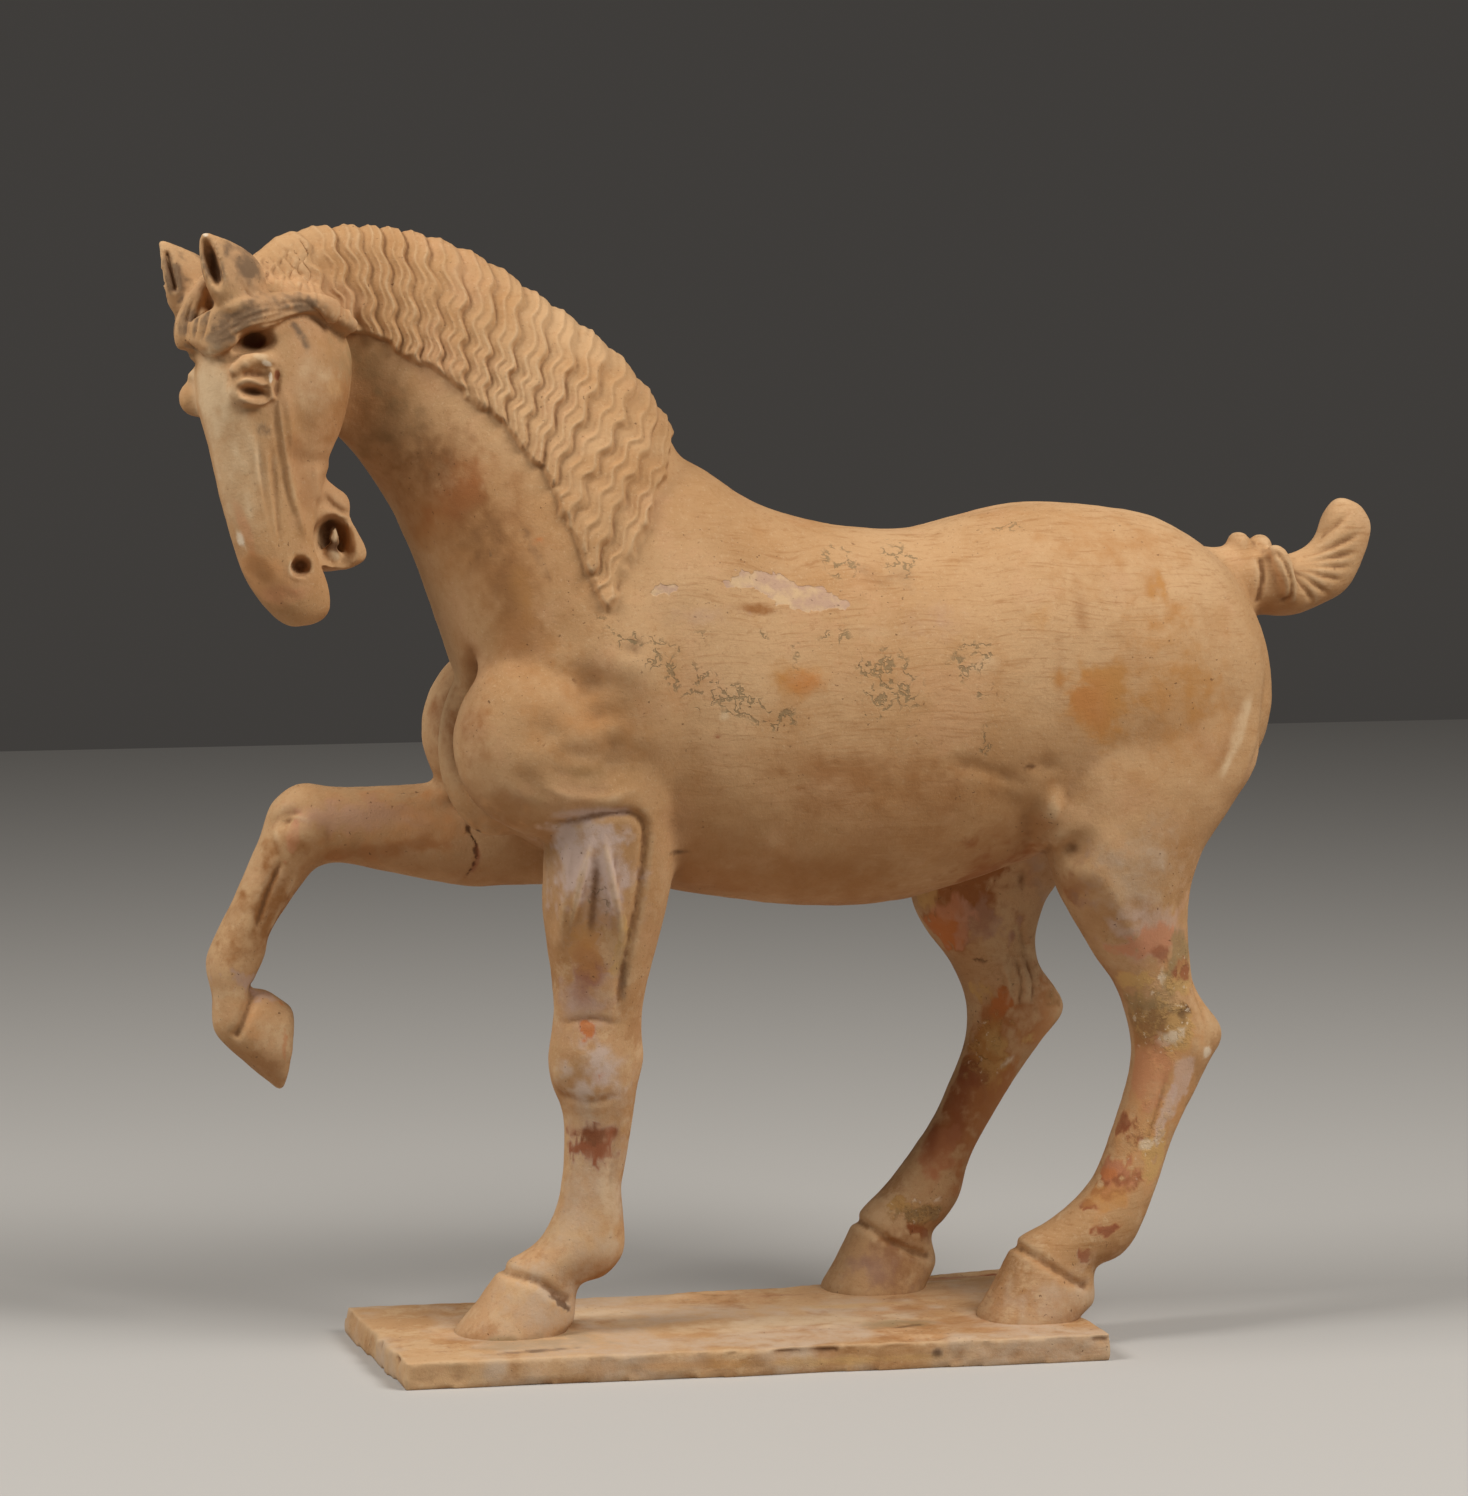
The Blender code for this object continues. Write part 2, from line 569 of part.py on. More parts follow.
def carve_legs(skin):
    near, far = (-80, 0), (0, 80)
    cuff = ((-93, 242), (-79, 242), (-67, 245), (-54, 246), (-47, 242), (-45, 233), (-46, 219),
            (-48, 202), (-51, 184), (-54, 153))
    step(skin, SIDE_VIEW, cuff, 1.8, 7, 1.8, NEAR, fade=0.12)
    stroke(skin, SIDE_VIEW, cuff, 2, -2.4, NEAR, fade=0.12)
    stroke(skin, SIDE_VIEW, ((-68, 236), (-72, 221), (-76, 208), (-79, 192), (-80, 172)), 3, 1.5, NEAR,
           near, fade=0.3)
    stroke(skin, SIDE_VIEW, ((-66, 236), (-62, 221), (-58, 208), (-55, 192), (-54, 172)), 3, 1.5, NEAR,
           near, fade=0.3)
    stroke(skin, SIDE_VIEW, ((-67, 222), (-67, 205), (-67, 180)), 5, -1.6, NEAR, near, fade=0.4)
    for zone, line in ((near, ((-107, 41), (-97, 39), (-88, 36), (-81, 31), (-73, 26))),
                       (near, ((122, 47), (132, 42), (141, 36), (150, 30), (159, 26))),
                       (far, ((73, 45), (81, 41), (88, 36), (98, 31), (110, 27))),
                       (far, ((-202, 164), (-206, 155), (-209, 148), (-213, 140)))):
        stroke(skin, SIDE_VIEW, line, 2, -2.4, zone=zone, fade=0.05)
    for side in BOTH:
        stroke(skin, SIDE_VIEW, ((147, 186), (154, 168), (160, 150)), 2.5, -1.5, side, far)
    stroke(skin, SIDE_VIEW, ((-53, 114), (-54, 92), (-56, 66)), 2.5, -1.2, NEAR, near)


def press(skin, axes, centre, radii, floor, side=1, firm=3.0, tilt=0.0, slope=0.0):
    """Press a pocket in across the page, down to a floor at that height across it.

    slope is how much the floor rises along the page.
    """
    local = axes.local(skin.points)
    turn = math.radians(tilt)
    x, y = local[:, 0] - centre[0], local[:, 1] - centre[1]
    u = (x * math.cos(turn) + y * math.sin(turn)) / radii[0]
    v = (y * math.cos(turn) - x * math.sin(turn)) / radii[1]
    across = local[:, 2] * side
    depth = np.clip(across - floor - slope * x, 0, None)
    amount = np.exp(-(u * u + v * v) ** firm) * depth
    amount[across < floor - 1] = 0
    skin.push(-amount, axes.rows[2] * side)


def ear_view(side):
    """Looking into an ear: its page runs back and outwards, and down."""
    forward, down, left = HEAD_PROFILE.rows
    left = left * side
    return Axes(HEAD_PROFILE.origin, (left - forward) / math.sqrt(2), down,
                (left + forward) / math.sqrt(2))


def carve_pockets(skin):
    """The openings of the mouth, nostrils and ears, and the pits over the eyes."""
    for side in BOTH:
        press(skin, HEAD_PROFILE, MOUTH, MOUTH_RADII, 3, side, tilt=-10, slope=-0.5)
        press(skin, HEAD_PROFILE, (-19, 77), (4.4, 3.4), 9, side)
        press(skin, HEAD_PROFILE, (-10.5, -20.5), (7.5, 4.5), 12, side)
        lift = FAR_EAR_LIFT if side < 0 else 0
        press(skin, ear_view(side), (10.8, -56 - lift), (2.9, 10), 8, tilt=-8)


def carve_head(skin):
    cheek = ((-57, -25), (-62, -18), (-64, -12), (-64, -4), (-61, 6.5), (-56, 14), (-49, 24.5),
             (-42, 34))
    lock_top = ((-62, -22), (-52, -30.5), (-43, -35.5), (-34, -39), (-24, -40.5), (-14, -40),
                (-4, -39), (4, -36))
    lock_foot = ((11, -24), (8, -20.5), (3.4, -17.6), (-4.5, -21), (-13, -24.6), (-20, -25.8),
                 (-27, -28.7), (-36, -30), (-44, -28), (-51, -22.8), (-60, -17))
    for side in BOTH:
        across = HEAD_PROFILE.rows[2] * side
        step(skin, HEAD_PROFILE, cheek[::-1], 0.4, 8, 1.2, side, fade=0.12, drop=8, way=across)
        step(skin, HEAD_PROFILE, lock_foot, 1.5, 5, 1.2, side, fade=0.08, drop=2.2)
        step(skin, HEAD_PROFILE, lock_top, 1.2, 5, 1.2, side, fade=0.1, drop=1.6)
        stroke(skin, HEAD_PROFILE, ((-17, -3), (-19, 8), (-20.5, 24), (-20, 42), (-20.5, 66)), 2, 1.8,
               side, fade=0.15)
        stroke(skin, HEAD_PROFILE, ((-27, 8), (-28, 26), (-28, 48)), 5, -1.4, side)
        stroke(skin, HEAD_PROFILE, ((-15, 14), (-12, 36), (-9, 62)), 2.5, -0.8, side)
        stroke(skin, HEAD_PROFILE, ((-37, 47), (-43, 53), (-50, 57), (-57, 60)), 2, -1.5, side, fade=0.3)
    dent(skin, HEAD_PROFILE, (-4.5, -0.3), (6.2, 2.8), -3, 1, firm=2)
    stroke(skin, HEAD_FRONT, ((0, -10), (0, 20), (0, 60)), 5, 0.8, side=1)
    for line in (((-9, -50), (-6, -44), (-3, -36), (0, -29), (3, -23)),
                 ((-4, -51), (-5, -44), (-6.6, -36.5), (-3, -31), (-1, -26))):
        stroke(skin, HEAD_PROFILE, line, 1.8, -1.6, 1, (-14, 12), fade=0.2)


def carve_tail(skin):
    for side in BOTH:
        for tip in ((279, 327), (294, 338), (300, 351), (304, 362)):
            stroke(skin, SIDE_VIEW, ((265, 347), (0.5 * (265 + tip[0]), 0.5 * (347 + tip[1]) - 1), tip),
                   1.8, -1.6, side)


def mesh_object(name, clay, collection):
    bmesh.ops.recalc_face_normals(clay, faces=clay.faces)
    mesh = bpy.data.meshes.new(name)
    clay.to_mesh(mesh)
    clay.free()
    item = bpy.data.objects.new(name, mesh)
    collection.objects.link(item)
    return item


def bake_modifiers(item):
    """Replace the object's mesh by what its modifiers make of it."""
    graph = bpy.context.evaluated_depsgraph_get()
    mesh = bpy.data.meshes.new_from_object(item.evaluated_get(graph))
    item.modifiers.clear()
    item.data = mesh


def one_skin(item, rubbing):
    """One skin round all that the mesh holds, with the joins rubbed smooth."""
    remesh = item.modifiers.new("One skin", "REMESH")
    remesh.mode = "VOXEL"
    remesh.voxel_size = VOXEL
    rub = item.modifiers.new("Rubbed joins", "SMOOTH")
    rub.factor = 0.5
    rub.iterations = rubbing
    bake_modifiers(item)


def model_figure(collection):
    figure = mesh_object("dancing_horse", model_masses(), collection)
    one_skin(figure, RUB_MASSES)
    details = bmesh.new()
    model_details(details)
    added = bpy.data.meshes.new("Details")
    details.to_mesh(added)
    details.free()
    clay = bmesh.new()
    clay.from_mesh(figure.data)
    clay.from_mesh(added)
    clay.to_mesh(figure.data)
    clay.free()
    one_skin(figure, RUB_DETAILS)
    skin = Skin(figure.data)
    for carve in (carve_chest, carve_hindquarters, carve_legs, carve_pockets, carve_head, carve_tail,
                  carve_mane):
        carve(skin)
        skin.face_ways()
    return figure


def sole(leg):
    """The toe, heel, near and far edges of a hoof's sole on the ground, in metres."""
    toe, _, heel, _, centre, half = leg[-1]
    return toe * UNIT, heel * UNIT, (centre - half) * UNIT, (centre + half) * UNIT


def slab_edges():
    """The slab's front, rear, near and far edges under the hooves, before it is centred."""
    front = sole(NEAR_FORE)[0] - SLAB_TOE_MARGIN
    rear = sole(NEAR_HIND)[1] + SLAB_HEEL_MARGIN
    near = sole(NEAR_HIND)[2] - SLAB_NEAR_MARGIN
    far = sole(FAR_HIND)[3] + SLAB_FAR_MARGIN
    return front, rear, near, far


def slab_outline(length, width, steps=14):
    """The slab's outline about its centre, with rough broken sides."""
    x, y = length / 2, width / 2
    corners = ((-x, -y + SLAB_FRONT_TAPER), (x, -y), (x, y),
               (-x - SLAB_FRONT_REACH, y - SLAB_FRONT_TAPER))
    points = []
    for i, (start, end) in enumerate(zip(corners, corners[1:] + corners[:1])):
        start, end = np.array(start), np.array(end)
        out = np.array([end[1] - start[1], start[0] - end[0]]) / np.linalg.norm(end - start)
        bow = SLAB_FAR_BOW if i == 2 else 0.0
        for k in range(steps):
            t = k / steps
            rough = math.sin(9.1 * t + 2.3 * i) * math.sin(23.7 * t + 1.1 * i)
            shift = (SLAB_CHIP * rough - bow) * math.sin(math.pi * t)
            points.append(start + (end - start) * t + out * shift)
    return np.array(points)


def model_slab(length, width, collection):
    outline = slab_outline(length, width)
    at_front = ramp(-outline[:, 0], length * 0.3, length * 0.5)
    foot = outline.copy()
    foot[:, 0] -= SLAB_FRONT_SLOPE * at_front * ramp(outline[:, 1], -width / 2, width / 2)
    shrink = 1 - 2 * SLAB_EDGE / np.array([length, width])
    clay = bmesh.new()
    add_tube(clay, [np.column_stack([foot, np.zeros(len(foot))]),
                    np.column_stack([outline, np.full(len(foot), SLAB_THICKNESS - SLAB_EDGE)]),
                    np.column_stack([outline * shrink, np.full(len(foot), SLAB_THICKNESS)])])
    slab = mesh_object("slab", clay, collection)
    slab.hide_render = True
    slab.display_type = "WIRE"
    return slab


def clay_material():
    material = bpy.data.materials.new("Buff earthenware")
    material.use_nodes = True
    shader = material.node_tree.nodes["Principled BSDF"]
    shader.inputs["Base Color"].default_value = CLAY_COLOUR
    shader.inputs["Roughness"].default_value = CLAY_ROUGHNESS
    return material


def main():
    for item in list(bpy.data.objects):
        bpy.data.objects.remove(item, do_unlink=True)
    collection = bpy.data.collections.new("Pottery dancing horse")
    cutters = bpy.data.collections.new("Joined clay")
    bpy.context.scene.collection.children.link(collection)
    bpy.context.scene.collection.children.link(cutters)

    figure = model_figure(collection)
    front, rear, near, far = slab_edges()
    slab = model_slab(rear - front, far - near, cutters)
    lift = SLAB_THICKNESS - DRAWN_SOLE * UNIT
    place = Matrix.Translation((-(front + rear) / 2, -(near + far) / 2, lift))
    figure.data.transform(place @ Matrix.Scale(UNIT, 4))

    thin = figure.modifiers.new("Fewer triangles", "DECIMATE")
    thin.use_collapse_triangulate = True
    thin.ratio = FIGURE_TRIANGLES / (2 * len(figure.data.polygons))
    luting = figure.modifiers.new("Luted to the slab", "BOOLEAN")
    luting.operation = "UNION"
    luting.solver = "EXACT"
    luting.object = slab
    figure.data.materials.append(clay_material())
    figure.data.shade_smooth()


main()
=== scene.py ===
"""The look of the pottery dancing horse: fine modelling, worn slip, studio light and camera.

The figure is drawn as in the part's source: one unit is 1 mm, the horse faces -X, its left
side faces -Y, and heights in the drawing start at the ground under the slab.
"""
import math

import bmesh
import bpy
import numpy as np
from mathutils import Matrix, Vector

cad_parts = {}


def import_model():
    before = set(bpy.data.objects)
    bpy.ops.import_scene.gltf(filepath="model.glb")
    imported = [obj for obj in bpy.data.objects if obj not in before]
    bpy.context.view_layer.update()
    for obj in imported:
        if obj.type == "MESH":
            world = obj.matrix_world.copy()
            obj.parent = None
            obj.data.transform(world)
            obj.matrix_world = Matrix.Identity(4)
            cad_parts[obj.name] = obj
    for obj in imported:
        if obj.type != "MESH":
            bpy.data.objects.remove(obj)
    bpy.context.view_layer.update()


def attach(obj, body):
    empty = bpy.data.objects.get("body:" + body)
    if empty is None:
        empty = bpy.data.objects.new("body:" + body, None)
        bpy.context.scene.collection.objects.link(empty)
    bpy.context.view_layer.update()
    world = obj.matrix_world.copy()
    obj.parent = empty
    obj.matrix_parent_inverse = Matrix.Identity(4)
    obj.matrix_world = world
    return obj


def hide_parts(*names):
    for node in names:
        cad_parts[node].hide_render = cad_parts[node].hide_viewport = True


# The figure and its slab in metres; a margin is how far the slab reaches past the hooves
FIGURE_HEIGHT = 0.488
SLAB_THICKNESS = 0.012
SLAB_TOE_MARGIN = 0.032
SLAB_HEEL_MARGIN = 0.001
SLAB_NEAR_MARGIN = 0.025
SLAB_FAR_MARGIN = 0.004
SLAB_FRONT_TAPER = 0.0155
SLAB_FRONT_REACH = 0.004
SLAB_FRONT_SLOPE = 0.002
SLAB_FAR_BOW = 0.014
SLAB_CHIP = 0.0012
SOLE_LUTING = 0.004

# The drawing's height and where its soles are, in its units, and one unit in metres
DRAWN_HEIGHT = 488.0
DRAWN_SOLE = 12.0
UNIT = FIGURE_HEIGHT / DRAWN_HEIGHT

# How finely it is modelled: voxels in units, rounds of rubbing, steps and triangles
MASS_VOXEL = 1.7
MASS_RUB = 21
DETAIL_VOXEL = 1.3
DETAIL_RUB = 5
FINE_VOXEL = 1.1
FINE_RUB = 1
SPLIT_RUB = 4
SLAB_VOXEL = 1.3
SLAB_RUB = 3
SLAB_SIDE_STEPS = 60
RING_POINTS = 48
SPAN_STEPS = 6
FIGURE_TRIANGLES = 620000
SLAB_TRIANGLES = 60000

# The figure's pieces and where they part, and the box of the finest modelling round the head
PIECES = ("horse_forehand", "horse_head", "horse_neck_near", "horse_neck_far", "horse_quarters")
FOREHAND, HEAD, NEAR_NECK, FAR_NECK, QUARTERS = range(5)
BODY_JOIN = 60.0
NECK_FOOT, NECK_BACK = 322, -8
NECK_MIDDLE = ((-200, -170, -110, -20), (-2, 11, 9, 0))
HEAD_BOX = ((-66, -80, -40), (30, 120, 40))
FINE_HEAD_BOX = ((-70, -80, -32), (14, 110, 32))

# The masks that the stains, the wear and the painted shade are painted with, beside their tones
MASKS = ("hollow_shade", "worn", "brown", "crackle", "scar", "crust")

NEAR, FAR = -1, 1
BOTH = (NEAR, FAR)


class Axes:
    """A drawing plane in space: two axes in the plane and one across it."""

    def __init__(self, origin, page_x, page_y, across):
        self.origin = np.array(origin, float)
        self.rows = np.array([page_x, page_y, across], float)

    def local(self, points):
        return (points - self.origin) @ self.rows.T

    def world(self, points):
        return np.asarray(points, float) @ self.rows + self.origin


def turned_head(origin, yaw, tuck, roll):
    """The head's profile plane: forward from the brow, down to the muzzle, and to its left."""
    yaw, tuck, roll = (math.radians(angle) for angle in (yaw, tuck, roll))
    ahead = np.array([-math.cos(yaw), -math.sin(yaw), 0.0])
    left = np.array([math.sin(yaw), -math.cos(yaw), 0.0])
    up = np.array([0.0, 0.0, 1.0])
    left, up = (left * math.cos(roll) + up * math.sin(roll),
                up * math.cos(roll) - left * math.sin(roll))
    down = -up * math.cos(tuck) - ahead * math.sin(tuck)
    forward = ahead * math.cos(tuck) - up * math.sin(tuck)
    return Axes(origin, forward, down, left)


SIDE_VIEW = Axes((0, 0, 0), (1, 0, 0), (0, 0, 1), (0, 1, 0))
CHEST_VIEW = Axes((0, 0, 0), (0, 1, 0), (0, 0, 1), (-1, 0, 0))
RUMP_VIEW = Axes((0, 0, 0), (0, 1, 0), (0, 0, 1), (1, 0, 0))
TOP_VIEW = Axes((0, 0, 0), (1, 0, 0), (0, 1, 0), (0, 0, 1))
HEAD_PROFILE = turned_head(origin=(-226, -24, 424), yaw=27, tuck=5, roll=9)
HEAD_FRONT = Axes(HEAD_PROFILE.origin, HEAD_PROFILE.rows[2], HEAD_PROFILE.rows[1],
                  HEAD_PROFILE.rows[0])

# Sections of the trunk, neck and tail in the side view:
# top or front edge x and z, bottom or back edge x and z, centre y, half width
TRUNK = (
    (-98, 312, -101, 262, 0, 24), (-92, 345, -99, 244, 0, 42), (-72, 385, -88, 229, 0, 54),
    (-45, 401, -66, 218, 0, 60), (-15, 396, -38, 209, 0, 63), (16, 377, -2, 201, 0, 64),
    (50, 367, 36, 196, 0, 65), (85, 364, 74, 196, 0, 66), (112, 370, 108, 203.5, 0, 68),
    (140, 376, 140, 213, 0, 69), (175, 375, 176, 224, 0, 68), (205, 368, 207, 232, 0, 63),
    (230, 351, 232, 242, 0, 56), (246.5, 329, 247.5, 256, 0, 37), (255.5, 305, 256.5, 276, 0, 17))
NECK = (
    (-212, 482.5, -199, 425, -8, 17), (-193, 492.5, -180, 414, 5, 17), (-166, 496, -163.5, 402, 12, 18),
    (-137, 494, -152, 388, 12, 22), (-109, 484, -142, 371, 9, 29), (-79, 465, -133.5, 350, 6, 35),
    (-51, 444.5, -125, 325, 3, 42), (-30, 419, -117, 300, 0, 50), (-14, 389, -106, 275, 0, 55))
TAIL = (
    (218, 358, 240, 312, 0, 16), (232, 354, 250, 321, 0, 14), (246, 356, 255, 323, 0, 14),
    (258, 354, 262, 322, 0, 15), (266, 350, 272, 322, 0, 14), (276, 353, 285, 327, 0, 13),
    (281, 357, 297, 334, 0, 12), (284, 363, 305, 349, 0, 11), (287, 371, 309, 362, 0, 9),
    (292, 377, 304, 373, 0, 5))
# Sections of the legs: front edge x and z, back edge x and z, centre y, half width
NEAR_FORE = (
    (-86, 300, -14, 300, -38, 22), (-85, 258, -22, 256, -36, 24), (-85, 240, -27, 239, -34, 24),
    (-85, 222, -27, 221, -32, 23), (-85.5, 205, -30, 203, -30, 22), (-83, 187, -34, 185, -27, 20),
    (-80, 169, -38, 167, -25, 17.5), (-79, 151, -40, 149, -23, 16), (-81.5, 135, -39, 134, -22, 17),
    (-79.5, 122, -41.5, 120, -21, 17), (-74, 108, -43, 107, -20, 14), (-74, 88, -46, 87, -19, 12.5),
    (-75, 77, -48, 75, -19, 13), (-77, 66, -47, 62, -18, 15), (-84, 52, -47, 46, -18, 16.5),
    (-93, 46, -56, 35, -17, 15.5), (-101, 41, -67, 32, -16, 16), (-112, 26, -69, 16, -16, 20),
    (-123, 12, -74, 12, -16, 23))
RAISED_FORE = (
    (-60, 262, -60, 204, 34, 24), (-91, 254, -91, 204, 38, 22), (-118, 251, -108, 204, 39, 19.5),
    (-145, 250, -143, 211.5, 40, 16.5), (-166, 250, -163.5, 216, 40, 15),
    (-181, 252, -173, 214.5, 40, 15.5), (-194, 243, -176.5, 212, 40, 15.5),
    (-199, 228, -181.5, 205, 40, 13), (-207, 210, -187.5, 197, 40, 11),
    (-216, 192, -195.5, 184, 40, 10.5), (-223, 177, -197, 175.5, 40, 11.5),
    (-223.5, 169, -201, 167.5, 40, 12), (-221, 158, -203, 162.5, 40, 11.5),
    (-221, 143.5, -199.5, 159, 40, 12.5), (-215, 135, -197, 161, 40, 14),
    (-203, 124, -189, 155, 40, 16), (-190, 113, -184, 152, 40, 16.5))
NEAR_HIND = (
    (128, 300, 242, 300, -38, 24), (132, 262, 240, 262, -41, 26), (139, 244, 228, 242, -42, 26),
    (141, 226, 215, 224, -42, 25), (146, 206, 208.5, 206, -41, 23), (154.5, 190, 207.5, 188, -40, 20),
    (166.5, 172, 209, 172, -39, 17), (176, 158, 213, 156, -38, 16), (182, 139, 225.5, 138, -38, 16),
    (183, 126, 218.5, 124, -38, 15), (179, 108, 209.5, 106, -38, 13.5), (173, 90, 201.5, 89, -38, 12.5),
    (166, 73, 195.5, 72, -38, 14), (157, 63, 189.5, 57, -38, 16), (145, 54, 182.5, 43, -38, 16.5),
    (134, 49, 174.5, 36, -38, 16), (128, 45, 166, 34, -38, 16), (127, 42, 165, 23, -38, 18),
    (119, 26, 165, 17, -38, 21), (111, 12, 157, 12, -38, 24))
FAR_HIND = (
    (100, 300, 215, 290, 38, 24), (98, 255, 208, 250, 41, 26), (97, 226, 194, 225, 42, 25),
    (101, 200, 177, 208, 42, 22), (107, 182, 163, 180, 42, 19), (121, 163, 163, 161, 42, 16),
    (127, 151, 172, 149, 42, 16), (130, 139, 176, 138, 42, 16), (129, 125, 165, 124, 42, 14.5),
    (122, 107, 152, 106, 42, 13), (113, 88, 140, 87, 42, 12), (101, 70, 130, 69, 42, 14),
    (91, 58, 126, 54, 42, 16), (81, 49, 119, 43, 42, 16), (77, 44, 112, 36, 42, 16),
    (74, 39, 115, 24, 42, 18), (68, 26, 113, 19, 42, 21), (60, 12, 109, 12, 42, 23))
# Sections of the head in its profile: front edge, back edge, how far left, half width
SKULL = (
    (-16, -48, -36, -48, 0, 10), (-6, -40, -54, -38, 0, 18), (3, -22, -65, -20, 0, 24),
    (5.2, 0, -65, 0, 0, 25), (3.7, 20, -58, 19, 0, 22), (3.2, 39, -47, 38, 0, 17),
    (1.7, 56, -38, 54, 0, 15.5), (-0.8, 72, -34.5, 71, 0, 15), (-5.5, 84, -38, 85, 0, 14),
    (-12.5, 95, -38, 97, 0, 11), (-19, 102, -33, 102, 0, 5))
LOWER_JAW = (
    (-28, 34, -43, 34, 0, 10), (-29, 42, -49, 42, 0, 10.5), (-30, 49, -57, 48, 0, 10.5),
    (-31, 54, -58.5, 53, 0, 10.5), (-31.5, 59, -57, 59, 0, 11), (-32, 65, -59.5, 65, 0, 11.5),
    (-33, 72, -62, 73, 0, 12), (-34, 76, -61, 77.5, 0, 11.5), (-40, 79, -53, 80.5, 0, 8))
EAR = (
    (0, -34, -22, -36, 16, 8), (4, -44, -24.5, -45, 16, 8.5), (5.5, -52, -22.5, -53, 16, 8),
    (6, -58, -17.5, -59.5, 16, 6.5), (6, -63, -8.5, -65, 16, 4.5), (5, -67.5, -1, -68.5, 16, 2.5),
    (3.5, -70, 1.5, -70, 16, 1))
TEMPLE_LOCK = (
    (8, -34, 9, -25, 0, 4), (3, -37, 4, -18, 9, 6), (-5, -39, -5, -21, 16, 6.5),
    (-14, -40, -13, -24.5, 19, 6.5), (-24, -40, -21, -26, 21, 6), (-34, -39, -31, -29, 22, 5.5),
    (-43, -35.5, -41, -28, 22.5, 5), (-52, -30, -49, -22, 22, 4.5), (-61, -21, -58, -18, 21.5, 3))
FAR_EAR_LIFT = 2.0
# Cords and locks: page x, page y, across the page, radius
FORELOCK = ((-9, -53, -2, 3.5), (-6, -46, -3, 6), (-2, -38, -5, 8), (1.5, -30, -7, 8.5),
            (2, -23, -8, 6.5))
NEAR_BROW = ((3, -9, 17, 2.5), (-4, -12, 20, 3.5), (-12, -12.5, 21.5, 3.5), (-18, -7, 21, 2))
FAR_BROW = ((1, -11, -15, 2.5), (-6, -14, -18, 3), (-13, -12, -20, 3), (-18, -6, -19, 2))
# The mouth's opening in the head's profile
MOUTH = (-42, 68)
MOUTH_RADII = (10.5, 10)
TAIL_STRAP = ((255, 354, -12, 2), (259, 351, -15, 4), (262, 343, -16, 4.5),
              (265, 334, -14, 4), (268, 329, -10, 2))

# The mane's locks, near side: where each starts on the crest and where it ends on the neck
LOCK_ROOTS = ((-207, 488), (-181, 500), (-161, 502), (-146, 501), (-131, 497), (-110, 488),
              (-90, 478), (-70, 465), (-51, 449), (-33, 431), (-20, 414))
LOCK_ENDS = ((-190, 466), (-167, 453), (-152, 449), (-139, 439), (-126, 432), (-114, 421),
             (-103, 411), (-92, 395), (-84, 386), (-74, 361), (-62, 330))
LOCKS = 15
LOCK_LIFT = 3.2
CREST_SCALLOP = 1.6
# The crimp's length in units, its swing in lock widths, and the share of it that wear has left
CRIMP_LENGTH = 14.0
CRIMP_SWING = 0.17
CRIMP_LEFT = 0.72
# How softly a lock ends, as a share of its length
MANE_EDGE = 0.05
# How high the ridges and the finer strands stand on the locks, and how often they are rubbed
FINE_RIDGE = 1.7
STRAND_RIDGE = 0.27
MANE_RUB = 2
# Across a lock, from one ridge to the next: how far along, and how high
LOCK_PROFILE = ((0, 0.06, 0.13, 0.22, 0.45, 0.75, 0.88, 0.95, 1.0),
                (0.6, -0.3, -0.75, -0.6, -0.1, 0.2, 0.45, 0.8, 0.6))
# The mane's stretch of the side view
MANE_FRONT, MANE_BACK, MANE_FOOT = -225, 0, 320
# Where the right side's upper arm is along the body
UPPER_ARM = (-100, 60)


def smooth_curve(rows, steps=SPAN_STEPS):
    """A Catmull-Rom curve through the rows, which may hold any numbers."""
    rows = np.array(rows, float)
    ends = np.vstack([2 * rows[0] - rows[1], rows, 2 * rows[-1] - rows[-2]])
    out = []
    for i in range(len(rows) - 1):
        a, b, c, d = ends[i:i + 4]
        for t in np.arange(steps) / steps:
            out.append(0.5 * (2 * b + (c - a) * t + (2 * a - 5 * b + 4 * c - d) * t ** 2
                              + (3 * b - a - 3 * c + d) * t ** 3))
    out.append(rows[-1])
    return np.array(out)


def add_tube(clay, rings):
    """One closed tube through rings of equally many points."""
    loops = [[clay.verts.new(point) for point in ring] for ring in rings]
    for one, two in zip(loops, loops[1:]):
        for j in range(len(one)):
            k = (j + 1) % len(one)
            clay.faces.new((one[j], one[k], two[k], two[j]))
    clay.faces.new(loops[0][::-1])
    clay.faces.new(loops[-1])


def add_loft(clay, axes, sections, square=2.2, egg=0.0, side=1):
    """A body part from sections, each a rounded oval between its two drawn edges.

    square is 2 for an ellipse and more for a boxier oval, and egg narrows the first edge.
    """
    angles = np.arange(RING_POINTS) * 2 * math.pi / RING_POINTS
    along = np.sign(np.cos(angles)) * np.abs(np.cos(angles)) ** (2 / square)
    across = np.sign(np.sin(angles)) * np.abs(np.sin(angles)) ** (2 / square)
    across = across * (1 - egg * along)
    rings = []
    for ax, ay, bx, by, centre, half in smooth_curve(sections):
        u = (ax + bx) / 2 + (ax - bx) / 2 * along
        v = (ay + by) / 2 + (ay - by) / 2 * along
        rings.append(axes.world(np.stack([u, v, centre * side + half * across], 1)))
    add_tube(clay, rings)


